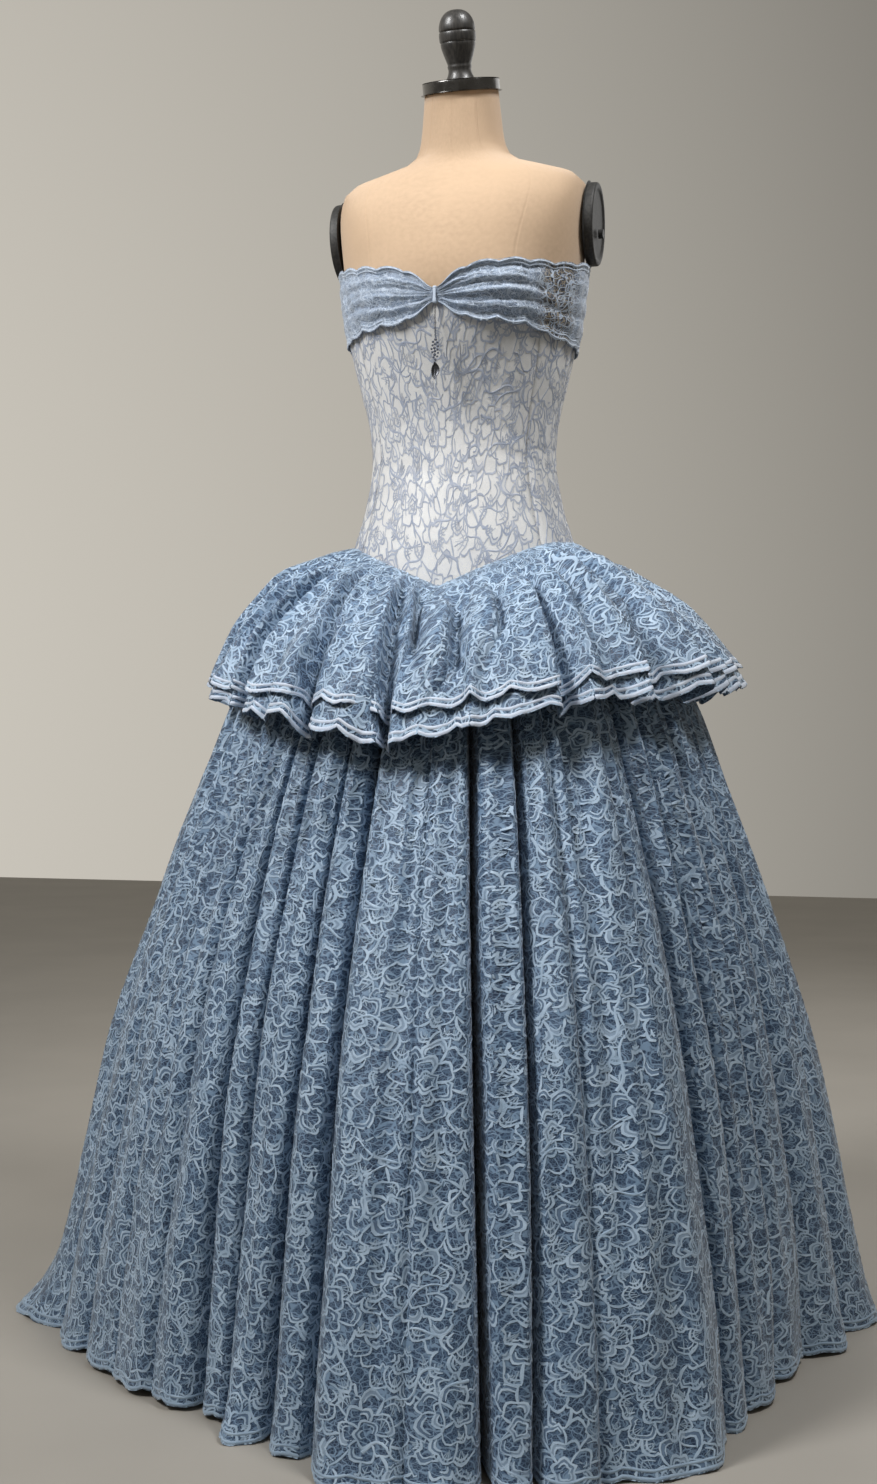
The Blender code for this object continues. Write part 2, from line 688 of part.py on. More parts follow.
def band_angles():
    """Close columns over the ruched front and wider ones round the back."""
    angles = [-BAND_GATHER_ENDS, BAND_GATHER_ENDS]
    angle = -180.0
    while angle < 180.0:
        angles.append(angle)
        angle += BAND_FRONT_STEP if -BAND_FRONT_ENDS <= angle < BAND_FRONT_ENDS else BAND_BACK_STEP
    return sorted(angles + [180.0])


def band_edges(angle, column):
    """The band's scalloped lower and upper edges at one column."""
    bottom, top = read_rows(EDGE_HEIGHTS, from_front(angle))[1:]
    scallop = BAND_SCALLOP * (column % 2) if from_front(angle) > BAND_FRONT_STEP else 0.0
    return bottom - scallop, top + scallop


def build_band(finish, collection):
    """One strip of ruched lace from centre back to centre back."""
    angles = band_angles()
    rows = 2 * BAND_FOLDS
    outer, inner = [], []
    for i in range(rows + 1):
        v = i / rows
        near, far = [], []
        for column, angle in enumerate(angles):
            bottom, top = band_edges(angle, column)
            height = mix(bottom, top, v)
            offset = band_offset(angle, v)
            near.append(body_point(angle, height, offset))
            far.append(body_point(angle, height, offset + BAND_WALL))
        inner.append(near)
        outer.append(far)
    wall_solid("bust_band", part_seam_ends(outer), part_seam_ends(inner), finish, collection)


def centre_front_section():
    """The gathered band's inner and outer offsets and its two edges at the centre front."""
    bottom, top = band_edges(0.0, 0)
    near = band_offset(0.0, 0.0)
    return near, near + BAND_WALL, bottom, top


def loop_outline(clearance):
    """Eight points round the gathered band, as (offset, height), clear of it all round."""
    near, far, bottom, top = centre_front_section()
    corner = LOOP_THICKNESS / 2
    low, high = bottom - clearance, top + clearance
    back, front = near - clearance, far + clearance
    return (
        (back, low + corner),
        (back, high - corner),
        (back + corner, high),
        (front - corner, high),
        (front, high - corner),
        (front, low + corner),
        (front - corner, low),
        (back + corner, low),
    )


def build_gather_loop(finish, collection):
    """A narrow fabric loop round the band, which draws it in at the centre front."""
    shape = bmesh.new()
    rings = []
    for clearance in (LOOP_CLEARANCE, LOOP_CLEARANCE + LOOP_THICKNESS):
        for side in (-LOOP_WIDTH / 2, LOOP_WIDTH / 2):
            ring = []
            for offset, height in loop_outline(clearance):
                ring.append(shape.verts.new(body_point(0.0, height, offset) + Vector((side, 0.0, 0.0))))
            rings.append(ring)
    inner_right, inner_left, outer_right, outer_left = rings
    strips = (
        (inner_right, inner_left),
        (inner_left, outer_left),
        (outer_left, outer_right),
        (outer_right, inner_right),
    )
    count = len(inner_right)
    for first, second in strips:
        for k in range(count):
            after = (k + 1) % count
            shape.faces.new((first[k], first[after], second[after], second[k]))
    add_object("gather_loop", smooth_mesh("gather_loop", shape), finish, collection)


def pendant_pivot():
    """The point under the loop that the pendant swings about."""
    near, far, bottom, _ = centre_front_section()
    height = bottom - LOOP_CLEARANCE - LOOP_THICKNESS - PENDANT_GAP
    point = body_point(0.0, height, (near + far) / 2)
    return point


def build_pendant(chain_finish, charm_finish, collection):
    """A fine chain and a drop-shaped charm, both hanging plumb below the pivot."""
    pivot = pendant_pivot()
    shape = bmesh.new()
    bmesh.ops.create_cone(shape, cap_ends=True, segments=8, radius1=CHAIN_RADIUS,
                          radius2=CHAIN_RADIUS, depth=CHAIN_LENGTH,
                          matrix=Matrix.Translation((0.0, 0.0, -CHAIN_LENGTH / 2)))
    chain = add_object("pendant_chain", smooth_mesh("pendant_chain", shape), chain_finish, collection)
    chain.location = pivot

    shape = bmesh.new()
    bmesh.ops.create_uvsphere(shape, u_segments=12, v_segments=8, radius=1.0)
    for vert in shape.verts:
        pinch = 1.0 - 0.45 * (0.5 + 0.5 * vert.co.z)
        vert.co.x *= CHARM_HALF_WIDTH * pinch
        vert.co.y *= CHARM_HALF_DEPTH
        vert.co.z *= CHARM_HALF_HEIGHT
    drop = CHAIN_LENGTH + SEAM_GAP + CHARM_HALF_HEIGHT
    bmesh.ops.translate(shape, vec=(0.0, 0.0, -drop), verts=shape.verts)
    charm = add_object("pendant_charm", smooth_mesh("pendant_charm", shape), charm_finish, collection)
    charm.location = pivot


def torso_heights():
    """The form's own levels, with the bodice's levels among them."""
    return sorted({section[0] for section in BODY_SECTIONS})


def torso_angles():
    angles = []
    for _, first, last, columns in BODICE_PANELS:
        angles += [mix(first, last, k / columns) for k in range(columns)]
    return angles


def build_torso(finish, collection):
    """One smooth closed body from the hips to the neck."""
    shape = bmesh.new()
    rings = []
    for height in torso_heights():
        rings.append([shape.verts.new(body_point(angle, height)) for angle in torso_angles()])
    count = len(rings[0])
    for lower, upper in zip(rings, rings[1:]):
        for k in range(count):
            after = (k + 1) % count
            shape.faces.new((lower[k], lower[after], upper[after], upper[k]))
    shape.faces.new(rings[0])
    shape.faces.new(rings[-1])
    add_object("form_torso", smooth_mesh("form_torso", shape), finish, collection)


def round_solid(name, radius, thickness, edge, segments, finish, collection):
    """A disc or rod with its lower face at z 0 and its two rims bevelled."""
    shape = bmesh.new()
    bmesh.ops.create_cone(shape, cap_ends=True, segments=segments, radius1=radius, radius2=radius,
                          depth=thickness, matrix=Matrix.Translation((0.0, 0.0, thickness / 2)))
    if edge > 0.0:
        rims = [e for e in shape.edges if abs(e.verts[0].co.z - e.verts[1].co.z) < edge / 2]
        bmesh.ops.bevel(shape, geom=rims, offset=edge, segments=2, affect="EDGES", profile=0.5)
    return add_object(name, smooth_mesh(name, shape), finish, collection)


def neck_frame():
    """The place and tilt of the neck's top face."""
    height, _, _, _, centre_y, _, lean = NECK_TOP
    tilt = Matrix.Rotation(math.atan(lean), 4, "X")
    return Matrix.Translation((0.0, centre_y, height)) @ tilt


def build_neck_fittings(metal, wood, collection):
    """The metal cap on the neck and the turned knob on the cap."""
    cap = round_solid("neck_cap", CAP_RADIUS, CAP_THICKNESS, CAP_EDGE, 28, metal, collection)
    cap.matrix_world = neck_frame() @ Matrix.Translation((0.0, 0.0, SEAM_GAP))

    mesh = bpy.data.meshes.new("neck_finial")
    points = [(radius, 0.0, height) for radius, height in FINIAL_PROFILE]
    mesh.from_pydata(points, [(k, k + 1) for k in range(len(points) - 1)], [])
    finial = add_object("neck_finial", mesh, wood, collection)
    finial.matrix_world = neck_frame() @ Matrix.Translation((0.0, 0.0, CAP_THICKNESS + 2 * SEAM_GAP))
    turned = finial.modifiers.new("turned", "SCREW")
    turned.axis = "Z"
    turned.steps = 16
    turned.render_steps = 16
    turned.use_smooth_shade = True
    turned.use_merge_vertices = True
    turned.merge_threshold = 0.0001


def build_arm_plates(metal, screw_finish, collection):
    """An oval plate where each arm would be, with the screw in its middle."""
    for side, word in ((1, "left"), (-1, "right")):
        tilt = Matrix.Rotation(side * math.radians(90.0 + PLATE_TILT), 4, "Y")
        centre = (side * PLATE_CENTRE[0], PLATE_CENTRE[1], PLATE_CENTRE[2])
        place = Matrix.Translation(centre) @ tilt
        name = "arm_plate_" + word
        plate = round_solid(name, 1.0, PLATE_THICKNESS, 0.0, 26, metal, collection)
        plate.data.transform(Matrix.Diagonal((PLATE_HALF_HEIGHT, PLATE_HALF_DEPTH, 1.0, 1.0)))
        plate.matrix_world = place
        rounded = plate.modifiers.new("rounded_rim", "BEVEL")
        rounded.width = PLATE_EDGE
        rounded.segments = 1
        rounded.limit_method = "ANGLE"

        name = "arm_screw_" + word
        screw = round_solid(name, SCREW_RADIUS, SCREW_LENGTH, 0.0, 16, screw_finish, collection)
        screw.matrix_world = place @ Matrix.Translation((SCREW_DROP, 0.0, PLATE_THICKNESS + SEAM_GAP))


def build_stand(finish, collection):
    """A round weighted base and the pole that carries the form."""
    round_solid("stand_base", BASE_RADIUS, BASE_THICKNESS, BASE_EDGE, 32, finish, collection)
    length = TORSO_BOTTOM - BASE_THICKNESS - 2 * SEAM_GAP
    pole = round_solid("stand_pole", POLE_RADIUS, length, 0.0, 20, finish, collection)
    pole.location = (0.0, 0.0, BASE_THICKNESS + SEAM_GAP)


clear_scene()
gown = bpy.data.collections.new("ball_gown_on_dress_form")
bpy.context.scene.collection.children.link(gown)
finishes = {name: make_finish(name) for name in COLOURS}

build_stand(finishes["iron"], gown)
build_torso(finishes["linen"], gown)
build_neck_fittings(finishes["dark_metal"], finishes["dark_wood"], gown)
build_arm_plates(finishes["dark_metal"], finishes["steel"], gown)
build_bodice(finishes["white_lace"], gown)
build_band(finishes["band_lace"], gown)
build_gather_loop(finishes["band_lace"], gown)
build_pendant(finishes["steel"], finishes["steel"], gown)
build_zip(finishes["steel"], gown)
build_skirt(finishes["blue_lace"], gown)
build_peplum(finishes["blue_lace"], gown)
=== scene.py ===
"""A strapless lace ball gown on a limbless dress form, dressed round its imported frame.

The gown faces -Y and +Z is up. Lengths are metres, and angles are degrees round the
vertical axis from the centre front: 90 is the wearer's left and 180 the centre back.
"""

import math
from collections import namedtuple

import bpy
import numpy as np
from mathutils import Matrix, Vector
from mathutils.geometry import delaunay_2d_cdt


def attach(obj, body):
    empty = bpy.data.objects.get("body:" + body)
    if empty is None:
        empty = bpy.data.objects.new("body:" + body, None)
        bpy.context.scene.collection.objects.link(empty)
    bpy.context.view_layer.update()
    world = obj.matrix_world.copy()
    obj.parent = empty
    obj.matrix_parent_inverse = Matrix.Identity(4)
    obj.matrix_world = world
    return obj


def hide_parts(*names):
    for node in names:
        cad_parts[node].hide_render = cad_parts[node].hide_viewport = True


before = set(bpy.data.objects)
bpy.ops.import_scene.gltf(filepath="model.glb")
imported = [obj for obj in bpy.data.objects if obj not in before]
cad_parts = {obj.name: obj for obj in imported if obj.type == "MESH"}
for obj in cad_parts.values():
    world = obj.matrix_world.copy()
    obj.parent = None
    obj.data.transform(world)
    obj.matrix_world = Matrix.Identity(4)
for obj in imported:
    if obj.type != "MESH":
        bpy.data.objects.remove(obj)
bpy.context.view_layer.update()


# The room. A pale plain floor under soft daylight from a tall window on the left, seen
# from hip height and a little to the wearer's left.
CAMERA_PLACE = (0.557, -2.056, 0.710)
CAMERA_WAY = (-0.2756, 0.9613, 0.0)
CAMERA_LENS = 41.725
CAMERA_SENSOR = 36.0
ROOM_COLOUR = (0.80, 0.755, 0.67)
BRIGHT_WALL_WAY = (-0.80, 0.60, 0.0)
WALL_LIGHT = (
    # how squarely the way faces the bright wall, the room's light that way
    (0.52, 0.23),
    (0.95, 0.76),
)
FLOOR_COLOUR = (0.43, 0.40, 0.355)
FLOOR_PATCH_SHADE = 0.93
FLOOR_PATCH_SIZE = 0.35
FLOOR_HALF = 6.0
RELIEF_DEPTH = 0.0002
LAMPS = (
    # name, place, aim, width, height, spread, watts
    ("window", (-1.42, -1.70, 2.8), (0.0, 0.0, 1.70), 0.8, 1.0, 110.0, 32.5),
    ("room_fill", (1.1, -0.6, 3.0), (0.0, 0.0, 1.60), 0.6, 0.6, 120.0, 18.5),
    ("far_wall_glow", (0.9, 2.6, 2.2), (0.0, 0.0, 0.9), 2.2, 1.6, 180.0, 12.0),
)


def new_finish(name, colour, roughness, sockets=None):
    """A Principled finish, its node tree and its shader."""
    finish = bpy.data.materials.new(name)
    finish.use_nodes = True
    shader = finish.node_tree.nodes["Principled BSDF"]
    shader.inputs["Base Color"].default_value = (*colour, 1.0)
    shader.inputs["Roughness"].default_value = roughness
    for socket, value in (sockets or {}).items():
        shader.inputs[socket].default_value = value
    return finish, finish.node_tree, shader


def add_node(tree, kind, inputs=None, **settings):
    """A node whose inputs are numbers, or other nodes' outputs to join to."""
    node = tree.nodes.new(kind)
    for key, value in settings.items():
        setattr(node, key, value)
    for socket, value in (inputs or {}).items():
        if isinstance(value, bpy.types.NodeSocket):
            tree.links.new(value, node.inputs[socket])
        else:
            node.inputs[socket].default_value = value
    return node


def mixed_colour(tree, share, first, second):
    """A colour that runs from the first to the second as the share goes from 0 to 1."""
    blend = tree.nodes.new("ShaderNodeMix")
    blend.data_type = "RGBA"
    tree.links.new(share, blend.inputs["Factor"])
    for socket, colour in (("A", first), ("B", second)):
        target = next(s for s in blend.inputs if s.name == socket and s.type == "RGBA")
        if isinstance(colour, bpy.types.NodeSocket):
            tree.links.new(colour, target)
        else:
            target.default_value = (*colour, 1.0)
    return next(s for s in blend.outputs if s.type == "RGBA")


def paint(tree, shader, share, first, second):
    """Colour a shader from the first to the second as the share goes from 0 to 1."""
    tree.links.new(mixed_colour(tree, share, first, second), shader.inputs["Base Color"])


def mottled(tree, place, size, low=0.35, high=0.7, detail=3.0):
    """Soft patches about a size across, as a share that runs from 0 to 1."""
    noise = add_node(tree, "ShaderNodeTexNoise",
                     {"Vector": place, "Scale": 1.0 / size, "Detail": detail})
    stretch = add_node(tree, "ShaderNodeMapRange",
                       {"Value": noise.outputs[0], "From Min": low, "From Max": high})
    return stretch.outputs[0]


def emboss(tree, shader, height, strength, depth=RELIEF_DEPTH):
    """Give a shader the relief of a height from 0 to 1 that is a depth deep."""
    bump = add_node(tree, "ShaderNodeBump",
                    {"Height": height, "Distance": depth, "Strength": strength})
    tree.links.new(bump.outputs[0], shader.inputs["Normal"])


def object_place(tree):
    return tree.nodes.new("ShaderNodeTexCoord").outputs["Object"]


def patched_finish(name, colour, patch_colour, patch_size, roughness, metallic, relief=0.0):
    """A metal whose colour drifts to a second one in small patches, which may have relief."""
    finish, tree, shader = new_finish(name, colour, roughness, {"Metallic": metallic})
    patches = mottled(tree, object_place(tree), patch_size)
    paint(tree, shader, patches, colour, patch_colour)
    if relief:
        emboss(tree, shader, patches, relief)
    return finish


def facing_along(way):
    """The rotation of a camera or a lamp that faces along a way."""
    return Vector(way).to_track_quat("-Z", "Y").to_euler()


camera = bpy.data.objects.new("camera", bpy.data.cameras.new("camera"))
camera.location = CAMERA_PLACE
camera.rotation_euler = facing_along(CAMERA_WAY)
camera.data.lens = CAMERA_LENS
camera.data.sensor_width = CAMERA_SENSOR
bpy.context.scene.collection.objects.link(camera)
bpy.context.scene.camera = camera

for lamp_name, place, aim, width, height, spread, watts in LAMPS:
    lamp = bpy.data.objects.new(lamp_name, bpy.data.lights.new(lamp_name, "AREA"))
    lamp.data.shape = "RECTANGLE"
    lamp.data.size, lamp.data.size_y = width, height
    lamp.data.spread = math.radians(spread)
    lamp.data.energy = watts
    lamp.location = place
    lamp.rotation_euler = facing_along(Vector(aim) - Vector(place))
    bpy.context.scene.collection.objects.link(lamp)

room = bpy.data.worlds.new("room")
room.use_nodes = True
room_tree, backdrop = room.node_tree, room.node_tree.nodes["Background"]
backdrop.inputs["Color"].default_value = (*ROOM_COLOUR, 1.0)
way = room_tree.nodes.new("ShaderNodeTexCoord").outputs["Generated"]
facing = add_node(room_tree, "ShaderNodeVectorMath", {0: way, 1: BRIGHT_WALL_WAY},
                  operation="DOT_PRODUCT")
(low_facing, low_light), (high_facing, high_light) = WALL_LIGHT
falling = add_node(room_tree, "ShaderNodeMapRange",
                   {"Value": facing.outputs["Value"],
                    "From Min": low_facing, "From Max": high_facing,
                    "To Min": low_light, "To Max": high_light})
room_tree.links.new(falling.outputs[0], backdrop.inputs["Strength"])
bpy.context.scene.world = room
bpy.context.scene.view_settings.view_transform = "Standard"

floor_mesh = bpy.data.meshes.new("floor")
corners = [(x * FLOOR_HALF, y * FLOOR_HALF, 0.0)
           for x, y in ((-1, -1), (1, -1), (1, 1), (-1, 1))]
floor_mesh.from_pydata(corners, [], [(0, 1, 2, 3)])
floor = bpy.data.objects.new("floor", floor_mesh)
bpy.context.scene.collection.objects.link(floor)
floor_finish, tree, shader = new_finish("plain_floor", FLOOR_COLOUR, 0.6)
patches = mottled(tree, object_place(tree), FLOOR_PATCH_SIZE, 0.35, 0.65)
paint(tree, shader, patches, FLOOR_COLOUR, [FLOOR_PATCH_SHADE * c for c in FLOOR_COLOUR])
floor_mesh.materials.append(floor_finish)


# The stand. A heavy round foot of black enamelled iron lies flat on the floor, and a
# tube of the same finish rises from it into the form.
ENAMEL = (0.012, 0.012, 0.013)
WORN_ENAMEL = (0.035, 0.033, 0.03)

enamel, tree, shader = new_finish("black_enamel", ENAMEL, 0.45, {"Coat Weight": 0.3})
grit = mottled(tree, object_place(tree), 0.0016, 0.3, 0.7)
emboss(tree, shader, grit, 0.5)
worn = mottled(tree, object_place(tree), 0.05, 0.5, 0.75)
paint(tree, shader, worn, ENAMEL, WORN_ENAMEL)
for node in ("stand_base", "stand_pole"):
    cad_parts[node].material_slots[0].material = enamel


# The form's torso. A hard shell from hip to neck under a tight cover of plain beige
# linen, whose panels meet in flat seams at the centres, the sides and down each bust.
BODY_SECTIONS = (
    # height, half width, front, back, centre y, squareness, lean
    (0.800, 0.1640, 0.1130, 0.1230, 0.000, 2.0, 0.000),
    (0.850, 0.1590, 0.1120, 0.1190, 0.000, 2.0, 0.000),
    (0.900, 0.1490, 0.1080, 0.1120, 0.000, 2.0, 0.000),
    (0.950, 0.1350, 0.1020, 0.1040, 0.000, 2.0, 0.000),
    (1.000, 0.1205, 0.0930, 0.0950, 0.000, 2.0, 0.000),
    (1.050, 0.1125, 0.0860, 0.0890, 0.000, 2.0, 0.000),
    (1.100, 0.1155, 0.0880, 0.0910, 0.000, 2.0, 0.000),
    (1.150, 0.1270, 0.0990, 0.0960, 0.000, 2.0, 0.000),
    (1.210, 0.1403, 0.1180, 0.1018, 0.000, 2.0, 0.000),
    (1.245, 0.1455, 0.1240, 0.1040, 0.000, 2.0, 0.000),
    (1.275, 0.1485, 0.1225, 0.1050, 0.000, 2.0, 0.000),
    (1.300, 0.1505, 0.1165, 0.1055, 0.000, 2.1, 0.000),
    (1.330, 0.1530, 0.1060, 0.1050, 0.000, 2.3, 0.000),
    (1.360, 0.1550, 0.0930, 0.1010, 0.002, 2.5, 0.000),
    (1.382, 0.1535, 0.0810, 0.0935, 0.004, 2.5, 0.000),
    (1.397, 0.1460, 0.0730, 0.0860, 0.004, 2.4, 0.015),
    (1.4075, 0.1210, 0.0650, 0.0760, 0.003, 2.2, 0.035),
    (1.416, 0.0930, 0.0590, 0.0680, 0.001, 2.05, 0.070),
    (1.424, 0.0700, 0.0545, 0.0610, -0.001, 2.0, 0.110),
    (1.434, 0.0580, 0.0510, 0.0560, -0.003, 2.0, 0.150),
    (1.450, 0.0520, 0.0485, 0.0525, -0.005, 2.0, 0.200),
    (1.478, 0.0485, 0.0460, 0.0490, -0.007, 2.0, 0.260),
    (1.509, 0.0455, 0.0440, 0.0460, -0.010, 2.0, 0.306),
)
BUST_SWELL = 0.0045
BUST_ANGLE = 33.0
BUST_ANGLE_SPREAD = 15.0
BUST_HEIGHT = 1.240
BUST_HEIGHT_SPREAD = 0.042
TORSO_ROWS = 66
TORSO_STEP = 3.0
COVER_SEAMS = (-147.0, -90.0, -36.0, 0.0, 36.0, 90.0, 147.0, 180.0)
COVER_SEAM_DEPTH = 0.0004
COVER_SEAM_PROFILE = ((-1.6, 0.0), (-0.6, -0.25), (0.0, 1.0), (0.6, -0.25), (1.6, 0.0))
LINEN = (0.53, 0.375, 0.245)
LINEN_SHADE = (0.47, 0.33, 0.215)
LINEN_AGED = (0.56, 0.395, 0.255)
TORSO_RADIUS = 0.14
THREAD_PITCH = 0.0011


def read_rows(rows, places):
    """A table's other columns, read at many places on a smooth curve through its rows."""
    table = np.array(rows, float)
    key, values = table[:, 0], table[:, 1:]
    places = np.clip(np.asarray(places, float), key[0], key[-1])
    slopes = np.empty_like(values)
    rises = (values[1:] - values[:-1]) / (key[1:] - key[:-1])[:, None]
    slopes[0], slopes[-1] = rises[0], rises[-1]
    slopes[1:-1] = (values[2:] - values[:-2]) / (key[2:] - key[:-2])[:, None]
    low = np.clip(np.searchsorted(key, places, side="right") - 1, 0, len(key) - 2)
    span = (key[low + 1] - key[low])[..., None]
    u = (places - key[low])[..., None] / span
    return (
        (2 * u ** 3 - 3 * u ** 2 + 1) * values[low]
        + (u ** 3 - 2 * u ** 2 + u) * span * slopes[low]
        + (3 * u ** 2 - 2 * u ** 3) * values[low + 1]
        + (u ** 3 - u ** 2) * span * slopes[low + 1]
    )


def angles_from(angles, place):
    """Angles measured from a place, from -180 to 180."""
    return (np.asarray(angles, float) - place + 180.0) % 360.0 - 180.0


def from_front(angles):
    """Angles from the centre front, from 0 to 180 on either side."""
    return np.abs(angles_from(angles, 0.0))


def bell(distances, spread):
    return np.exp(-(np.asarray(distances) / spread) ** 2)


def unit(ways):
    """Ways made one long, where they have a length."""
    return ways / np.maximum(np.linalg.norm(ways, axis=-1, keepdims=True), 1e-12)


def squared(values, squareness):
    """Sines or cosines that make an oval at squareness 2 and a rounder box above it."""
    return np.copysign(np.abs(values) ** (2 / squareness), values)


def level_outward(angles, half_widths, depths):
    """The level directions square to an oval at some angles."""
    turns = np.radians(angles)
    ways = [depths * np.sin(turns), -half_widths * np.cos(turns), 0.0 * turns]
    return unit(np.stack(ways, axis=-1))


def body_points(angles, heights, offsets=0.0):
    """Points some distances outside the form's surface."""
    angles, heights, offsets = np.broadcast_arrays(angles, heights, offsets)
    sections = np.moveaxis(read_rows(BODY_SECTIONS, heights), -1, 0)
    half_width, front, back, centre_y, squareness, lean = sections
    turns = np.radians(angles)
    depth = np.where(np.cos(turns) > 0, front, back)
    across = squared(np.sin(turns), squareness)
    along = -squared(np.cos(turns), squareness)
    swell = BUST_SWELL * bell(from_front(angles) - BUST_ANGLE, BUST_ANGLE_SPREAD)
    swell = swell * bell(heights - BUST_HEIGHT, BUST_HEIGHT_SPREAD)
    points = np.stack([half_width * across, depth * along, 0.0 * heights], axis=-1)
    points = points + level_outward(angles, half_width, depth) * (offsets + swell)[..., None]
    points[..., 2] = heights + lean * points[..., 1]
    points[..., 1] += centre_y
    return points


def grid_faces(rows, columns, closed=False, ring=False):
    """Four-sided faces of a grid whose rows may close, and whose last row may meet its first."""
    faces = []
    for i in range(rows if ring else rows - 1):
        for j in range(columns if closed else columns - 1):
            a, b, k = i * columns, (i + 1) % rows * columns, (j + 1) % columns
            faces.append((a + j, b + j, b + k, a + k))
    return faces


def new_piece(name, points, faces, finishes, slot, marks=None, flat=None, body="root"):
    """A smooth piece that rides on a body, with its faces' finishes and flat places."""
    mesh = bpy.data.meshes.new(name)
    mesh.from_pydata(np.asarray(points).reshape(-1, 3).tolist(), [], faces)
    for finish in finishes:
        mesh.materials.append(finish)
    if marks is not None:
        mesh.polygons.foreach_set("material_index", marks)
    if flat is not None:
        corners_of = np.empty(len(mesh.loops), int)
        mesh.loops.foreach_get("vertex_index", corners_of)
        layer = mesh.uv_layers.new(name="flat_cloth")
        layer.data.foreach_set("uv", np.asarray(flat, float).reshape(-1, 2)[corners_of].ravel())
    mesh.shade_smooth()
    mesh.update()
    piece = bpy.data.objects.new(name, mesh)
    bpy.context.scene.collection.objects.link(piece)
    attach(piece, body)
    return piece


def thicken(piece, thickness, offset=-1.0):
    """Give a sheet its thickness: inward from its face, or half to each side at offset 0."""
    wall = piece.modifiers.new("thickness", "SOLIDIFY")
    wall.thickness = thickness
    wall.offset = offset


def flat_place(tree):
    return tree.nodes.new("ShaderNodeTexCoord").outputs["UV"]


def woven(tree, place, pitch):
    """The relief of a plain weave with a pitch between its threads."""
    threads = {}
    for side, direction in enumerate(("X", "Y")):
        wave = add_node(tree, "ShaderNodeTexWave",
                        {"Vector": place, "Scale": math.pi / 10.0 / pitch, "Distortion": 1.5},
                        bands_direction=direction)
        threads[side] = wave.outputs["Fac"]
    return add_node(tree, "ShaderNodeMath", threads, operation="ADD").outputs[0]


seam_steps = [seam + step for seam in COVER_SEAMS for step, _ in COVER_SEAM_PROFILE]
cover_angles = np.array(sorted(set(np.arange(-179.0, 181.0, TORSO_STEP)) | set(seam_steps)))
last_angle = 180.0 + COVER_SEAM_PROFILE[-1][0]
cover_angles = cover_angles[(cover_angles > -178.0) & (cover_angles <= last_angle)]
cover_heights = np.linspace(BODY_SECTIONS[0][0], BODY_SECTIONS[-1][0], TORSO_ROWS)
seam_dip = np.zeros(len(cover_angles))
for seam in COVER_SEAMS:
    steps, dips = zip(*COVER_SEAM_PROFILE)
    seam_dip -= COVER_SEAM_DEPTH * np.interp(cover_angles - seam, steps, dips, 0.0, 0.0)
cover = body_points(cover_angles[None, :], cover_heights[::-1, None], seam_dip[None, :])
cover_faces = grid_faces(*cover.shape[:2], closed=True)
count = len(cover_angles)
cover_faces.append(tuple(range(count))[::-1])
cover_faces.append(tuple(range(count * (TORSO_ROWS - 1), count * TORSO_ROWS)))
cover_flat = np.stack(np.broadcast_arrays(
    np.radians(cover_angles)[None, :] * TORSO_RADIUS, cover_heights[::-1, None]), axis=-1)

linen, tree, shader = new_finish("linen_cover", LINEN, 0.88, {"Sheen Weight": 0.25})
slubs = mottled(tree, flat_place(tree), 0.006, detail=6.0)
aged = mottled(tree, object_place(tree), 0.16)
slubbed = mixed_colour(tree, slubs, LINEN, LINEN_SHADE)
paint(tree, shader, aged, slubbed, LINEN_AGED)
emboss(tree, shader, woven(tree, flat_place(tree), THREAD_PITCH), 0.6)
torso = new_piece("torso_cover", cover, cover_faces, [linen], "linen", flat=cover_flat)
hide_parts("form_torso")


# The form's fittings. A polished dark metal cap closes the neck, a turned and ebonised
# knob stands on it, and an oval metal plate with a screw closes each armhole.
FINIAL_PROFILE = (
    # step, radius, height above the cap
    (0.0, 0.0001, 0.0823),
    (1.0, 0.0075, 0.0813),
    (2.0, 0.0135, 0.0784),
    (3.0, 0.0185, 0.0729),
    (4.0, 0.0215, 0.0655),
    (5.0, 0.0223, 0.0598),
    (5.6, 0.0220, 0.0580),
    (6.0, 0.0209, 0.0572),
    (6.4, 0.0220, 0.0563),
    (7.0, 0.0225, 0.0542),
    (8.0, 0.0226, 0.0505),
    (9.0, 0.0220, 0.0453),
    (9.4, 0.0209, 0.0443),
    (9.8, 0.0214, 0.0433),
    (11.0, 0.0207, 0.0383),
    (12.0, 0.0185, 0.0309),
    (13.0, 0.0158, 0.0234),
    (13.6, 0.0148, 0.0204),
    (14.0, 0.0142, 0.0187),
    (14.4, 0.0150, 0.0170),
    (15.0, 0.0140, 0.0131),
    (16.0, 0.0150, 0.0079),
    (17.0, 0.0168, 0.0037),
    (18.0, 0.0174, 0.0000),
    (19.0, 0.0001, 0.0000),
)
CAP_PROFILE = (
    # step, radius, height
    (0.0, 0.0001, 0.0140),
    (1.0, 0.0440, 0.0140),
    (2.0, 0.0466, 0.0138),
    (3.0, 0.0475, 0.0126),
    (4.0, 0.0475, 0.0070),
    (5.0, 0.0475, 0.0012),
    (6.0, 0.0470, 0.0000),
    (7.0, 0.0001, 0.0000),
)
PLATE_PROFILE = (
    # step, share of the plate's half size, height
    (0.0, 0.001, 0.0102),
    (1.0, 0.700, 0.0102),
    (2.0, 0.800, 0.0104),
    (3.0, 0.860, 0.0120),
    (4.0, 0.955, 0.0120),
    (5.0, 0.990, 0.0108),
    (6.0, 1.000, 0.0085),
    (7.0, 1.000, 0.0020),
    (8.0, 0.975, 0.0000),
    (9.0, 0.001, 0.0000),
)
TURNED_STEPS = 56
NECK_TOP, NECK_CENTRE_Y, NECK_LEAN = (BODY_SECTIONS[-1][column] for column in (0, 4, 6))
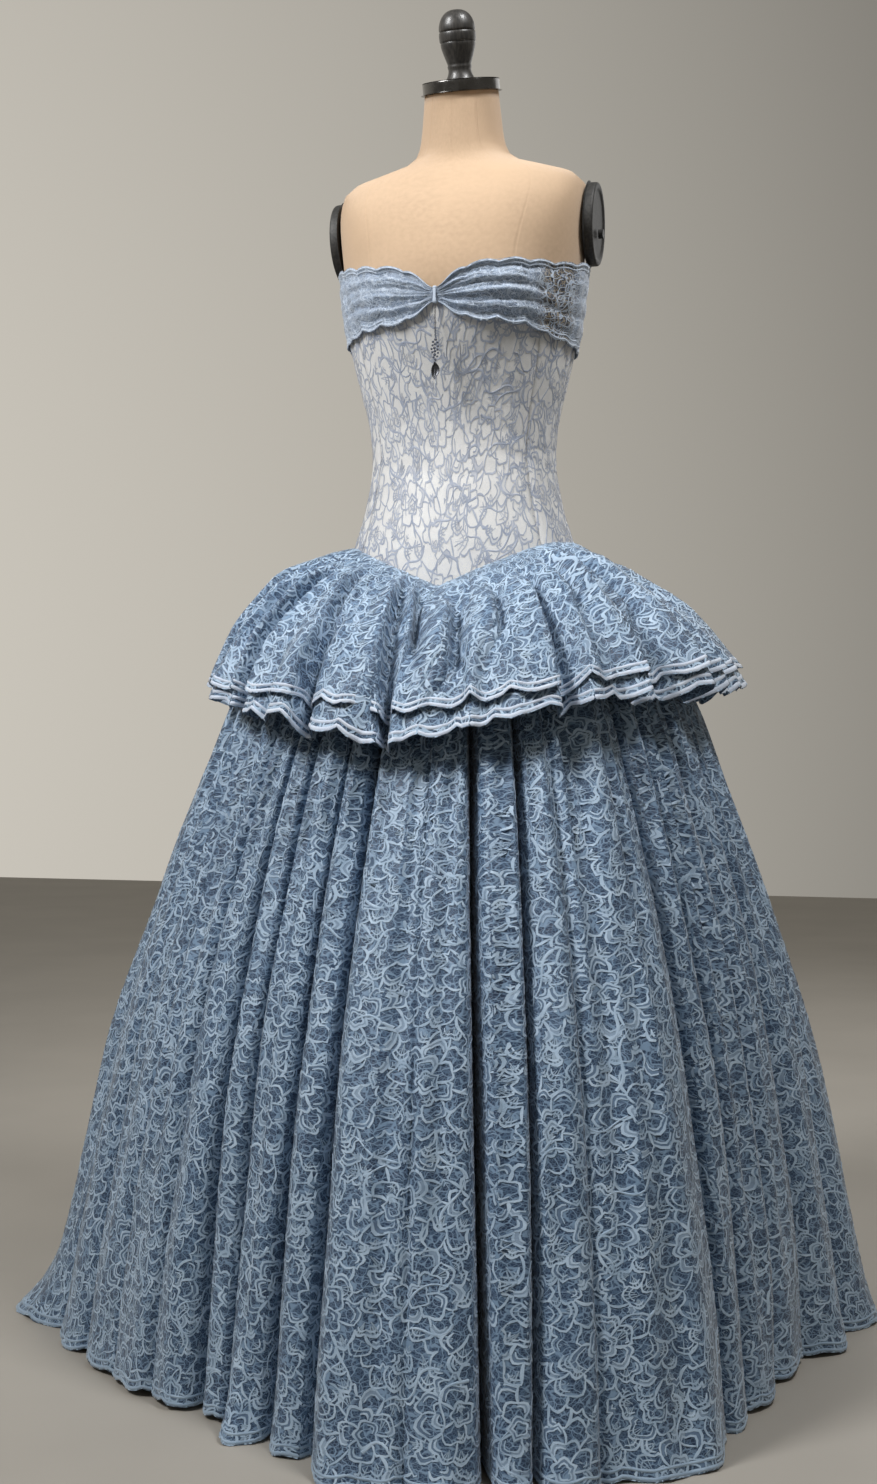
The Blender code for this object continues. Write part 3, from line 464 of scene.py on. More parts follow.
NECK_FRAME = (Matrix.Translation((0.0, NECK_CENTRE_Y, NECK_TOP))
              @ Matrix.Rotation(math.atan(NECK_LEAN), 4, "X"))
FITTING_GAP = 0.0003
CAP_HEIGHT = 0.0140
PLATE_CENTRE = (0.1547, 0.0150, 1.3420)
PLATE_HALF_DEPTH = 0.0430
PLATE_HALF_HEIGHT = 0.0500
PLATE_TILT = 2.0
EBONY = (0.020, 0.019, 0.018)
EBONY_STREAK = (0.045, 0.041, 0.037)
GUNMETAL = (0.16, 0.155, 0.15)
PLATE_BLACK, PLATE_PIT = (0.020, 0.020, 0.020), (0.045, 0.043, 0.040)
BARE_STEEL, STEEL_SCUFF = (0.42, 0.42, 0.43), (0.25, 0.25, 0.26)
BLUED_STEEL, FILED_STEEL = (0.035, 0.035, 0.037), (0.060, 0.058, 0.055)


def turned_piece(name, profile, smooth_steps, scale, place, finish, slot):
    """A piece turned on a lathe from a profile of radius and height."""
    last = profile[-1][0]
    outline = read_rows(profile, np.linspace(0.0, last, int(last * smooth_steps) + 1))
    turns = np.linspace(0.0, 2 * math.pi, TURNED_STEPS, endpoint=False)
    radii, heights = outline[:, 0, None], outline[:, 1, None]
    points = np.stack(np.broadcast_arrays(
        radii * scale[0] * np.cos(turns), radii * scale[1] * np.sin(turns), heights), axis=-1)
    faces = grid_faces(len(outline), TURNED_STEPS, closed=True)
    piece = new_piece(name, points, faces, [finish], slot)
    piece.matrix_world = place
    piece.data.set_sharp_from_angle(angle=math.radians(50))
    return piece


ebony, tree, shader = new_finish("ebonised_wood", EBONY, 0.42, {"Coat Weight": 0.15})
grain = add_node(tree, "ShaderNodeMapping",
                 {"Vector": object_place(tree), "Scale": (1.0, 1.0, 0.12)})
streaks = mottled(tree, grain.outputs[0], 0.0022, 0.4, 0.65, 6.0)
paint(tree, shader, streaks, EBONY, EBONY_STREAK)
emboss(tree, shader, streaks, 0.35)

gunmetal, tree, shader = new_finish("polished_cap_metal", GUNMETAL, 0.22, {"Metallic": 1.0})
smears = mottled(tree, object_place(tree), 0.012)
rubbed = add_node(tree, "ShaderNodeMapRange", {"Value": smears, "To Min": 0.17, "To Max": 0.34})
tree.links.new(rubbed.outputs[0], shader.inputs["Roughness"])

plate_metal = patched_finish("plate_metal", PLATE_BLACK, PLATE_PIT, 0.003, 0.55, 0.3, 0.4)
bare_steel = patched_finish("bare_steel", BARE_STEEL, STEEL_SCUFF, 0.0015, 0.32, 1.0)
blued_steel = patched_finish("blued_steel", BLUED_STEEL, FILED_STEEL, 0.0010, 0.5, 0.6)

cap_place = NECK_FRAME @ Matrix.Translation((0.0, 0.0, FITTING_GAP))
cap = turned_piece("neck_cap_turned", CAP_PROFILE, 2, (1.0, 1.0), cap_place,
                   gunmetal, "dark_metal")
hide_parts("neck_cap")
finial_place = NECK_FRAME @ Matrix.Translation((0.0, 0.0, CAP_HEIGHT + 2 * FITTING_GAP))
finial = turned_piece("neck_finial_turned", FINIAL_PROFILE, 3, (1.0, 1.0), finial_place,
                      ebony, "dark_wood")
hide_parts("neck_finial")
for side, word in ((1, "left"), (-1, "right")):
    centre = (side * PLATE_CENTRE[0], PLATE_CENTRE[1], PLATE_CENTRE[2])
    tilt = Matrix.Rotation(side * math.radians(90.0 + PLATE_TILT), 4, "Y")
    half_sizes = (PLATE_HALF_HEIGHT, PLATE_HALF_DEPTH)
    plate = turned_piece("arm_plate_pressed_" + word, PLATE_PROFILE, 2, half_sizes,
                         Matrix.Translation(centre) @ tilt, plate_metal, "dark_metal")
    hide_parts("arm_plate_" + word)
    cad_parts["arm_screw_" + word].material_slots[0].material = blued_steel


# The bodice. Seven boned panels of off-white satin under fine corded lace in grey-blue,
# sewn together down the princess, side and back seams and cut to a point at the waist.
EDGE_HEIGHTS = (
    # angle from the front, waist seam, band bottom, band top
    (0.0, 0.8890, 1.2235, 1.2405),
    (1.5, 0.8905, 1.2235, 1.2405),
    (8.0, 0.898, 1.2130, 1.2530),
    (16.0, 0.907, 1.2065, 1.2625),
    (30.0, 0.921, 1.2040, 1.2700),
    (45.0, 0.934, 1.2010, 1.2770),
    (60.0, 0.943, 1.1930, 1.2830),
    (90.0, 0.948, 1.1880, 1.2870),
    (135.0, 0.946, 1.1860, 1.2880),
    (180.0, 0.942, 1.1850, 1.2880),
)
BODICE_WALL = 0.0020
WAIST_EASE = 0.0006
BUST_EASE = 0.0016
EASE_GROWS_FROM = 1.08
EASE_GROWS_OVER = 0.12
SEAM_GAP = 0.0003
ZIP_WIDTH = 0.0030
SEAM_ALLOWANCE = 0.008
BAND_ABOVE_BODICE = 0.010
BODICE_PANELS = (
    # node, first seam, last seam, columns, flat width at the top, at the waist, length
    ("bodice_back_right", -180.0, -130.0, 20, 0.112, 0.112, 0.350),
    ("bodice_side_back_right", -130.0, -90.0, 16, 0.077, 0.079, 0.350),
    ("bodice_side_front_right", -90.0, -54.0, 16, 0.074, 0.070, 0.345),
    ("bodice_front", -54.0, 54.0, 46, 0.275, 0.275, 0.370),
    ("bodice_side_front_left", 54.0, 90.0, 16, 0.074, 0.070, 0.345),
    ("bodice_side_back_left", 90.0, 130.0, 16, 0.077, 0.079, 0.350),
    ("bodice_back_left", 130.0, 180.0, 20, 0.112, 0.112, 0.350),
)
BODICE_ROWS = 52
SEAM_ROLL = 0.0015
SEAM_ROLL_WIDTH = 0.0045
BODICE_PULLS = (
    # angle, height, rise per degree, width in degrees, width in height, depth
    (-40.0, 1.085, 0.0006, 26.0, 0.0060, 0.0011),
    (-48.0, 1.060, 0.0004, 20.0, 0.0050, 0.0012),
    (-30.0, 1.040, -0.0003, 24.0, 0.0055, 0.0009),
    (46.0, 1.075, -0.0006, 22.0, 0.0060, 0.0012),
    (52.0, 1.050, -0.0003, 22.0, 0.0050, 0.0011),
    (24.0, 1.030, 0.0003, 20.0, 0.0050, 0.0007),
    (70.0, 1.062, 0.0002, 18.0, 0.0050, 0.0010),
    (110.0, 1.070, 0.0003, 22.0, 0.0055, 0.0009),
    (150.0, 1.050, -0.0002, 22.0, 0.0050, 0.0010),
    (-70.0, 1.066, -0.0002, 18.0, 0.0050, 0.0010),
    (-110.0, 1.058, -0.0003, 22.0, 0.0055, 0.0009),
    (-150.0, 1.072, 0.0002, 22.0, 0.0050, 0.0010),
)
DEEPEST_PULL = 0.0014
PANEL_RADIUS = 0.12
SATIN_WALL = 0.0012
IVORY = (0.80, 0.79, 0.76)
IVORY_SHADE = (0.62, 0.65, 0.70)
IVORY_CLOUD = (0.70, 0.70, 0.70)
GREY_CORDS = (
    # finish, colour, paler tone, thread: outline cord, thin cord, half work, solid work
    ("grey_blue_cord", (0.33, 0.38, 0.49), (0.47, 0.51, 0.60), 0.0009),
    ("grey_blue_net", (0.36, 0.40, 0.50), (0.50, 0.54, 0.61), 0.0008),
    ("grey_blue_half_worked", (0.64, 0.66, 0.69), (0.70, 0.71, 0.72), 0.0007),
    ("grey_blue_worked", (0.50, 0.53, 0.60), (0.60, 0.62, 0.67), 0.0007),
)

# Each lace is a mesh of petal-shaped cells in outline cord, ringed into flowers here and
# there. A border bows outward like a petal's edge, and many have a thinner cord inside
# them, with short veins or worked cloth between. A few borders are left out between the
# flowers. Stretch lengthens the whole pattern.
LacePattern = namedtuple(
    "LacePattern", "cell flower_spacing flower_size echoed stems stretch cord_half lift")
FLOWER_RINGS = (
    # reach as a share of the flower's size, cells in the ring
    (0.00, 1),
    (0.48, 5),
    (1.00, 9),
)
FLOWER_REACH = 1.30
CELL_JITTER = 0.30
FLOWER_JITTER = 0.20
STEM_JITTER = 0.4
ROW_SPACING = 0.88
# A border's length is a share of a cell's size, and its bow a share of its own length.
LONGEST_BORDER = 2.5
LONG_BORDER = 0.50
SHORT_BORDER = 0.35
BORDER_STEPS = {True: np.linspace(0.0, 1.0, 5), False: np.linspace(0.0, 1.0, 3)}
LEFT_OUT = 0.13
LEAST_BOW = 0.04
MOST_BOW = 0.42
BOW_CHANGE = 0.05
CORD_CHANGE = (0.75, 1.3)
END_TAPER = 0.5
# An echo is set inside by a share of a cell, and only where the border faces outward.
ECHO_FACING = 0.35
ECHO_INSIDE = 0.20
ECHO_CHANGE = (0.75, 1.25)
ECHO_SHARE = 0.78
ECHO_HALF = 0.75
WORKED_IN_FLOWERS = 0.75
WORKED_ELSEWHERE = 0.22
HALF_WORKED_SHARE = 0.6
VEIN_CHANGE = (0.5, 2.2)
VEIN_LEAN = 0.3
VEIN_HALVES = (0.3, 0.6)
STEM_STEPS = 13
STEM_STEP = 0.30
STEM_SWAY, STEM_PACE, STEM_START = (0.5, 1.1), (4.0, 8.0), (0.0, 6.0)
STEM_HALF, STEM_TAPER = 1.35, 0.8
PETAL_TURN = 0.16
PETAL_CHANGE = (0.92, 1.08)
FLOWER_CHANGE = (0.88, 1.08)
FLOW_SWAY = 1.2
LEAST_FLARE = 0.01
Ribbon = namedtuple("Ribbon", "places halves ridge mark")
Drape = namedtuple("Drape", "points normals shares downs")
Cut = namedtuple("Cut", "turn top_radius length")


def drape_of(points):
    """A cloth's grid with its normals and its columns' and rows' shares of its size."""
    ways = unit(np.cross(np.gradient(points, axis=0), np.gradient(points, axis=1)))
    across = np.linalg.norm(np.diff(points[-1], axis=0), axis=-1)
    down = np.linalg.norm(np.diff(points, axis=0), axis=-1).mean(axis=1)
    shares = np.concatenate([[0.0], np.cumsum(across)]) / across.sum()
    downs = np.concatenate([[0.0], np.cumsum(down)]) / down.sum()
    return Drape(points, ways, shares, downs)


def lay_on(drape, shares, downs, lifts):
    """Points some lifts above a draped cloth, at shares across and down it."""
    column = np.interp(shares, drape.shares, np.arange(len(drape.shares)))
    row = np.interp(downs, drape.downs, np.arange(len(drape.downs)))
    j = np.clip(column.astype(int), 0, len(drape.shares) - 2)
    i = np.clip(row.astype(int), 0, len(drape.downs) - 2)
    a, b = (column - j)[..., None], (row - i)[..., None]
    found = []
    for grid in (drape.points, drape.normals):
        upper = grid[i, j] * (1 - a) + grid[i, j + 1] * a
        lower = grid[i + 1, j] * (1 - a) + grid[i + 1, j + 1] * a
        found.append(upper * (1 - b) + lower * b)
    points, ways = found
    return points + unit(ways) * np.asarray(lifts)[..., None]


def flared_cut(top_width, hem_width, length):
    """The flat cut of a cloth that widens evenly: part of a ring, however slight."""
    flare = (hem_width - top_width) / length
    if abs(flare) < LEAST_FLARE:
        flare = LEAST_FLARE
    return Cut(flare, top_width / flare, length)


def to_flat(cut, shares, downs):
    radius = cut.top_radius + np.asarray(downs) * cut.length
    turns = (np.asarray(shares) - 0.5) * cut.turn
    return np.stack(np.broadcast_arrays(radius * np.sin(turns), radius * np.cos(turns)), axis=-1)


def from_flat(cut, places):
    sign = math.copysign(1.0, cut.turn)
    x, y = sign * places[:, 0], sign * places[:, 1]
    shares = np.arctan2(x, y) / cut.turn + 0.5
    downs = (sign * np.hypot(x, y) - cut.top_radius) / cut.length
    return shares, downs


def cloth_piece(name, drape, cut, wall, finish, slot):
    """A thin closed shell of cloth on a drape, with its flat places for the weave."""
    flat = to_flat(cut, drape.shares[None, :], drape.downs[:, None])
    faces = grid_faces(*drape.points.shape[:2])
    piece = new_piece(name, drape.points, faces, [finish], slot, flat=flat)
    thicken(piece, wall)
    return piece


def staggered_places(low, high, spacing, jitter, chance):
    """Staggered places over a flat box, each moved a little."""
    rows = int((high[1] - low[1]) / (spacing * ROW_SPACING)) + 2
    columns = int((high[0] - low[0]) / spacing) + 2
    i, j = np.meshgrid(np.arange(rows), np.arange(columns), indexing="ij")
    places = np.stack([low[0] + (j + 0.5 * (i % 2)) * spacing,
                       low[1] + i * spacing * ROW_SPACING], axis=-1).reshape(-1, 2)
    return places + chance.uniform(-jitter, jitter, places.shape) * spacing


def cell_borders(middles):
    """The borders between neighbouring cells: two ends and the middles on either side."""
    flat, _, triangles, *_ = delaunay_2d_cdt([Vector(m) for m in middles], [], [], 0, 1e-7)
    flat = np.array([tuple(v) for v in flat])
    a, b, c = (flat[np.array(triangles)[:, k]] for k in range(3))
    twice = 2 * ((b - a)[:, 0] * (c - a)[:, 1] - (b - a)[:, 1] * (c - a)[:, 0])
    twice[np.abs(twice) < 1e-12] = 1e-12
    ab, ac = ((b - a) ** 2).sum(1), ((c - a) ** 2).sum(1)
    x = a[:, 0] + ((c - a)[:, 1] * ab - (b - a)[:, 1] * ac) / twice
    y = a[:, 1] + ((b - a)[:, 0] * ac - (c - a)[:, 0] * ab) / twice
    meetings = np.column_stack([x, y])
    sharing = {}
    for k, triangle in enumerate(triangles):
        for m in range(3):
            side = frozenset((triangle[m], triangle[m - 1]))
            if side in sharing:
                near, far = side
                yield meetings[sharing[side]], meetings[k], flat[near], flat[far]
            else:
                sharing[side] = k


def border_ribbons(start, end, across, outward, worked, pattern, chance):
    """One border: its bowed cord, and the echo inside it with veins or worked cloth between."""
    long = math.dist(start, end)
    facing = across @ outward
    bow = long * (LEAST_BOW + MOST_BOW * facing + chance.uniform(-BOW_CHANGE, BOW_CHANGE))
    t = BORDER_STEPS[long > LONG_BORDER * pattern.cell]
    curve = start + np.outer(t, end - start) + np.outer(np.sin(math.pi * t), across * bow)
    half = pattern.cord_half * chance.uniform(*CORD_CHANGE)
    taper = 1.0 - END_TAPER * np.abs(2.0 * t - 1.0) ** 2
    ribbons = [Ribbon(curve, half * taper, False, 0)]
    plain = facing < ECHO_FACING or long < SHORT_BORDER * pattern.cell
    if plain or chance.random() > pattern.echoed:
        return ribbons
    inside = ECHO_INSIDE * pattern.cell * chance.uniform(*ECHO_CHANGE)
    middle = (start + end) / 2.0
    echo = middle + (curve - middle) * ECHO_SHARE - across * inside
    ribbons.append(Ribbon(echo, ECHO_HALF * half * taper, False, 0))
    if chance.random() < worked:
        mark = 2 if chance.random() < HALF_WORKED_SHARE else 3
        return ribbons + [Ribbon((curve + echo) / 2, (0.5 * inside) * taper, False, mark)]
    for k in range(1, len(t) - 1):
        lean = VEIN_LEAN * (middle - echo[k])
        vein = chance.uniform(*VEIN_CHANGE) * (echo[k] - curve[k]) + lean
        places = np.array((echo[k] + vein, curve[k]))
        ribbons.append(Ribbon(places, half * np.array(VEIN_HALVES), False, 1))
    return ribbons


def stem_ribbon(start, way, pattern, chance):
    """One long stem that wanders between the flowers."""
    t = np.linspace(0.0, 1.0, STEM_STEPS)
    sway, pace, begun = (chance.uniform(*span) for span in (STEM_SWAY, STEM_PACE, STEM_START))
    turns = way + sway * np.sin(t * pace + begun)
    ways = np.stack([np.cos(turns), np.sin(turns)], axis=-1)
    places = start + STEM_STEP * pattern.cell * np.cumsum(ways, axis=0)
    return Ribbon(places, pattern.cord_half * (STEM_HALF - STEM_TAPER * t), True, 0)


def clear_of(places, middles, reach):
    apart = np.linalg.norm(places[:, None, :] - middles[None, :, :], axis=-1)
    return apart.min(axis=1) > reach


def lace_ribbons(low, high, pattern, chance):
    """All the cords of a lace over a flat box: its petal cells, flowers and stems."""
    flowers = staggered_places(low, high, pattern.flower_spacing, FLOWER_JITTER, chance)
    middles = staggered_places(low, high, pattern.cell, CELL_JITTER, chance)
    reach = FLOWER_REACH * pattern.flower_size
    middles = list(middles[clear_of(middles, flowers, reach)])
    for flower in flowers:
        size = pattern.flower_size * chance.uniform(*FLOWER_CHANGE)
        for ring, (share, count) in enumerate(FLOWER_RINGS):
            for k in range(count):
                place = k + 0.5 * ring + chance.uniform(-PETAL_TURN, PETAL_TURN)
                turn = 2 * math.pi * place / count
                away = np.array((math.cos(turn), math.sin(turn)))
                middles.append(flower + away * share * size * chance.uniform(*PETAL_CHANGE))
    ribbons = []
    for start, end, near, far in cell_borders(middles):
        place = (near + far) / 2.0
        apart = np.linalg.norm(flowers - place, axis=-1)
        in_flower = apart.min() < reach
        if in_flower:
            outward = (place - flowers[apart.argmin()]) / max(apart.min(), 1e-6)
        else:
            x, y = place / pattern.flower_spacing
            sway = FLOW_SWAY * math.sin(7.0 * x + 2.0 * y) * math.cos(5.0 * y - 1.5 * x)
            turn = math.radians(90.0) + sway
            outward = np.array((math.cos(turn), math.sin(turn)))
        if math.dist(start, end) > LONGEST_BORDER * pattern.cell:
            continue
        if not in_flower and chance.random() < LEFT_OUT:
            continue
        across = (far - near) / math.dist(near, far)
        across = across * math.copysign(1.0, across @ outward)
        worked = WORKED_IN_FLOWERS if in_flower else WORKED_ELSEWHERE
        ribbons += border_ribbons(start, end, across, outward, worked, pattern, chance)
    for place in staggered_places(low, high, pattern.stems, STEM_JITTER, chance):
        way = chance.uniform(0.0, 2 * math.pi)
        ribbons.append(stem_ribbon(place, way, pattern, chance))
    return ribbons


# How high each kind of ribbon lies above the cloth as a share of the lace's lift: outline
# cord, thin cord, half work and solid work lie flat. A stem is ridged down its middle.
RIBBON_LIFTS = (0.55, 0.40, 0.20, 0.28)
RIDGE_LIFTS = {1.0: 0.05, 0.0: 1.0, -1.0: 0.05}


def lace_piece(name, drape, cut, pattern, seed, finishes, slot, start_down=0.0):
    """Lace laid over a drape: its cords, worked petals and stems, trimmed to the cloth."""
    chance = np.random.default_rng(seed)
    edge = np.linspace(0.0, 1.0, 60)
    rim = np.concatenate([to_flat(cut, edge, 0.0), to_flat(cut, edge, 1.0),
                          to_flat(cut, 0.0, edge), to_flat(cut, 1.0, edge)])
    squeeze = np.array([1.0, 1.0 / pattern.stretch])
    rim = rim * squeeze
    margin = 1.5 * pattern.flower_size
    places, lifts, faces, marks, start = [], [], [], [], 0
    for ribbon in lace_ribbons(rim.min(0) - margin, rim.max(0) + margin, pattern, chance):
        shares, downs = from_flat(cut, ribbon.places / squeeze)
        if ((shares < 0) | (shares > 1) | (downs < 0) | (downs > 1)).all():
            continue
        ways = unit(np.gradient(ribbon.places, axis=0))
        aside = np.column_stack([-ways[:, 1], ways[:, 0]]) * ribbon.halves[:, None]
        flat_lanes = dict.fromkeys((1.0, -1.0), RIBBON_LIFTS[ribbon.mark])
        lanes = RIDGE_LIFTS if ribbon.ridge else flat_lanes
        count = len(ribbon.places)
        for lane, lift in lanes.items():
            places.append(ribbon.places + aside * lane)
            lifts.append(np.full(count, lift * pattern.lift))
        strips = grid_faces(len(lanes), count)
        faces += [[start + corner for corner in face] for face in strips]
        marks += [ribbon.mark] * len(strips)
        start += count * len(lanes)

    places = np.concatenate(places) / squeeze
    lifts = np.concatenate(lifts)
    shares, downs = from_flat(cut, places)
    off = (shares < 0) | (shares > 1) | (downs < start_down) | (downs > 1)
    faces, marks = np.array(faces), np.array(marks)
    kept = ~off[faces].all(axis=1)
    faces, marks = faces[kept], marks[kept]
    shares, downs = np.clip(shares, 0, 1), np.clip(downs, 0, 1)
    used, faces = np.unique(faces, return_inverse=True)
    points = lay_on(drape, shares[used], downs[used], lifts[used])
    return new_piece(name, points, faces.reshape(-1, 4).tolist(), finishes, slot, marks=marks,
                     flat=places[used])


def bodice_ease(heights):
    share = np.clip((heights - EASE_GROWS_FROM) / EASE_GROWS_OVER, 0.0, 1.0)
    return WAIST_EASE + (BUST_EASE - WAIST_EASE) * share


def bodice_drape(first, last, columns):
    """One bodice panel's outer face, rolled in at its seams and pulled at the waist."""
    shares = np.linspace(0.0, 1.0, columns)
    angles = first + (last - first) * shares
    edges = read_rows(EDGE_HEIGHTS, from_front(angles))
    top = edges[:, 2] - BAND_ABOVE_BODICE
    bottom = edges[:, 0] - SEAM_ALLOWANCE
    downs = np.linspace(0.0, 1.0, BODICE_ROWS)[:, None]
    heights = top + (bottom - top) * downs
    pulls = np.zeros_like(heights)
    for angle, height, rise, wide, tall, depth in BODICE_PULLS:
        line = height + rise * (angles - angle)
        pulls -= depth * bell(angles - angle, wide) * bell(heights - line, tall)
    run = np.radians(last - first) * PANEL_RADIUS
    from_seam = np.minimum(shares, 1.0 - shares) * run
    roll = SEAM_ROLL * bell(from_seam, SEAM_ROLL_WIDTH)
    offsets = bodice_ease(heights) + BODICE_WALL + np.maximum(pulls, -DEEPEST_PULL) - roll
    points = body_points(angles[None, :], heights, offsets)
    turns = np.radians(angles)
    aside = np.zeros(columns)
    aside[0] = SEAM_GAP / 2 if first > -180.0 else ZIP_WIDTH / 2 + SEAM_GAP
    aside[-1] = -SEAM_GAP / 2 if last < 180.0 else -ZIP_WIDTH / 2 - SEAM_GAP
    points[..., 0] += aside * np.cos(turns)
    points[..., 1] += aside * np.sin(turns)
    return drape_of(points)


BODICE_LACE = LacePattern(cell=0.0178, flower_spacing=0.085, flower_size=0.022, echoed=0.55,
                          stems=0.034, stretch=1.45, cord_half=0.00098, lift=0.0006)


def net_lines(tree, place, scale, reach, start=0.0, most=1.0):
    """The threads of an uneven fine net, as a share that falls to 0 a reach away from them."""
    cells = add_node(tree, "ShaderNodeTexVoronoi", {"Vector": place, "Scale": scale},
                     feature="DISTANCE_TO_EDGE")
    lines = add_node(tree, "ShaderNodeMapRange",
                     {"Value": cells.outputs["Distance"], "From Min": start, "From Max": reach,
                      "To Min": most, "To Max": 0.0})
    return lines.outputs[0]


def cord_finish(name, colour, pale, thread):
    """Corded thread: fine ridges across the cord with painted shade in their grooves, and slow
    changes of tone.
    """
    finish, tree, shader = new_finish(name, colour, 0.55, {"Sheen Weight": 0.3})
    place = flat_place(tree)
    tone = mottled(tree, place, 0.02, 0.35, 0.68)
    twist = add_node(tree, "ShaderNodeTexWave",
                     {"Vector": place, "Scale": math.pi / 10.0 / thread, "Distortion": 9.0,
                      "Detail": 2.0}, bands_direction="DIAGONAL")
    # The twist's grooves are painted darker than its crests: painted shade in the hollows of the
    # relief.
    fibres_shaded_in_grooves = mixed_colour(tree, twist.outputs["Fac"], tuple(0.88 * c for c in colour), colour)
    paint(tree, shader, tone, fibres_shaded_in_grooves, pale)
    emboss(tree, shader, twist.outputs["Fac"], 0.6)
    return finish


ivory_satin, tree, shader = new_finish("ivory_satin", IVORY, 0.42, {"Sheen Weight": 0.2})
net = net_lines(tree, flat_place(tree), 620.0, 0.12)
clouds = mottled(tree, flat_place(tree), 0.03, 0.38, 0.68)
paint(tree, shader, clouds, mixed_colour(tree, net, IVORY, IVORY_SHADE), IVORY_CLOUD)
emboss(tree, shader, net, 0.5)
grey_cords = [cord_finish(*row) for row in GREY_CORDS]

for seed, (node, first, last, columns, top_width, low_width, length) in enumerate(BODICE_PANELS):
    drape = bodice_drape(first, last, columns)
    cut = flared_cut(top_width, low_width, length)
    word = node.replace("bodice_", "")
    panel = cloth_piece("bodice_satin_" + word, drape, cut, SATIN_WALL, ivory_satin, "white_lace")
    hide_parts(node)
    lace = lace_piece("bodice_lace_" + word, drape, cut, BODICE_LACE, 40 + seed, grey_cords,
                      "white_lace")
    max(top_width, low_width)


# The bust band. One strip of blue lace, ruched on a stay, drawn together at the centre
# front and left with its scalloped edges free at top and bottom.
BAND_WALL = 0.0018
BAND_CLEARANCE = 0.0008
BAND_RUCHE = (
    # angle from the front, depth of the ruching
    (0.0, 0.0000),
    (2.0, 0.0000),
    (8.0, 0.0034),
    (30.0, 0.0038),
    (55.0, 0.0018),
    (90.0, 0.0010),
    (180.0, 0.0008),
)
BAND_FOLDS = 4
BAND_SCALLOP = 0.0044
BAND_SCALLOP_WIDTH = 0.036
CENTRE_STAND = 0.0014
CENTRE_STAND_SPREAD = 6.0
LOOSE_STAND = 0.0050
LOOSE_ANGLE = 74.0
LOOSE_SPREAD = 14.0
BAND_ROWS = 36
BAND_STEP = 2.2
BAND_FINE_TO = 66.0
BAND_RADIUS = 0.145
BAND_CRUMPLE = 0.0011
BAND_LENGTH = 0.088
BAND_WIDTHS = (0.93, 0.90)
BAND_CLOTH_WALL = 0.0009
BAND_EDGE_CORDS = (
    # distance from the edge, width
    (0.0022, 0.0024),
    (0.0068, 0.0018),
)
BAND_EDGE_LIFT = 0.0007
BAND_TUCKS = (
    # height share at the front, drift per 100 degrees, depth, width, fades by angle
    (0.08, 0.04, 0.0020, 0.024, 62.0),
    (0.17, -0.05, 0.0026, 0.022, 50.0),
    (0.26, 0.07, 0.0018, 0.018, 66.0),
    (0.35, 0.02, 0.0030, 0.024, 78.0),
    (0.45, -0.06, 0.0022, 0.020, 44.0),
    (0.54, 0.05, 0.0030, 0.024, 70.0),
    (0.63, -0.03, 0.0020, 0.018, 52.0),
    (0.72, 0.06, 0.0026, 0.022, 58.0),
    (0.81, -0.04, 0.0020, 0.018, 74.0),
    (0.90, 0.02, 0.0026, 0.022, 64.0),
)
BAND_TRIMS = (
    # angle, change at the top edge, change at the lower edge, how wide in degrees
    (-78.0, 0.000, 0.013, 30.0),
    (62.0, -0.010, 0.000, 24.0),
)
BAND_BLUE = (0.205, 0.285, 0.415)
BAND_BLUE_DEEP = (0.070, 0.115, 0.200)
BAND_CORD = (0.52, 0.60, 0.71)
BAND_CORDS = (
    # finish, colour, paler tone, thread: cord, half work
    ("band_cord", BAND_CORD, (0.52, 0.61, 0.74), 0.0008),
    ("band_half_worked", (0.31, 0.40, 0.55), (0.37, 0.46, 0.60), 0.0008),
)
# The loose stretch near the wearer's left is painted as open net: the dark between its few pale
# threads is painted shadow of the gap behind it.
LOOSE_PAINTED_SHADOW = (0.035, 0.042, 0.065)
LOOSE_THREAD = (0.40, 0.33, 0.22)
LOOSE_PLACE = 0.178
LOOSE_HALF = (0.018, 0.040)


def band_offsets(angles, v):
    """How far the band's inner face stands off the form."""
    around = from_front(angles)
    ruche = read_rows(BAND_RUCHE, around)[..., 0]
    wave = ruche * (0.5 + 0.5 * np.cos(2 * math.pi * BAND_FOLDS * v))
    stand = CENTRE_STAND * bell(around, CENTRE_STAND_SPREAD)
    loose = LOOSE_STAND * bell(angles - LOOSE_ANGLE, LOOSE_SPREAD) * np.sin(math.pi * v / 2)
    return BUST_EASE + BODICE_WALL + BAND_CLEARANCE + wave + stand + loose


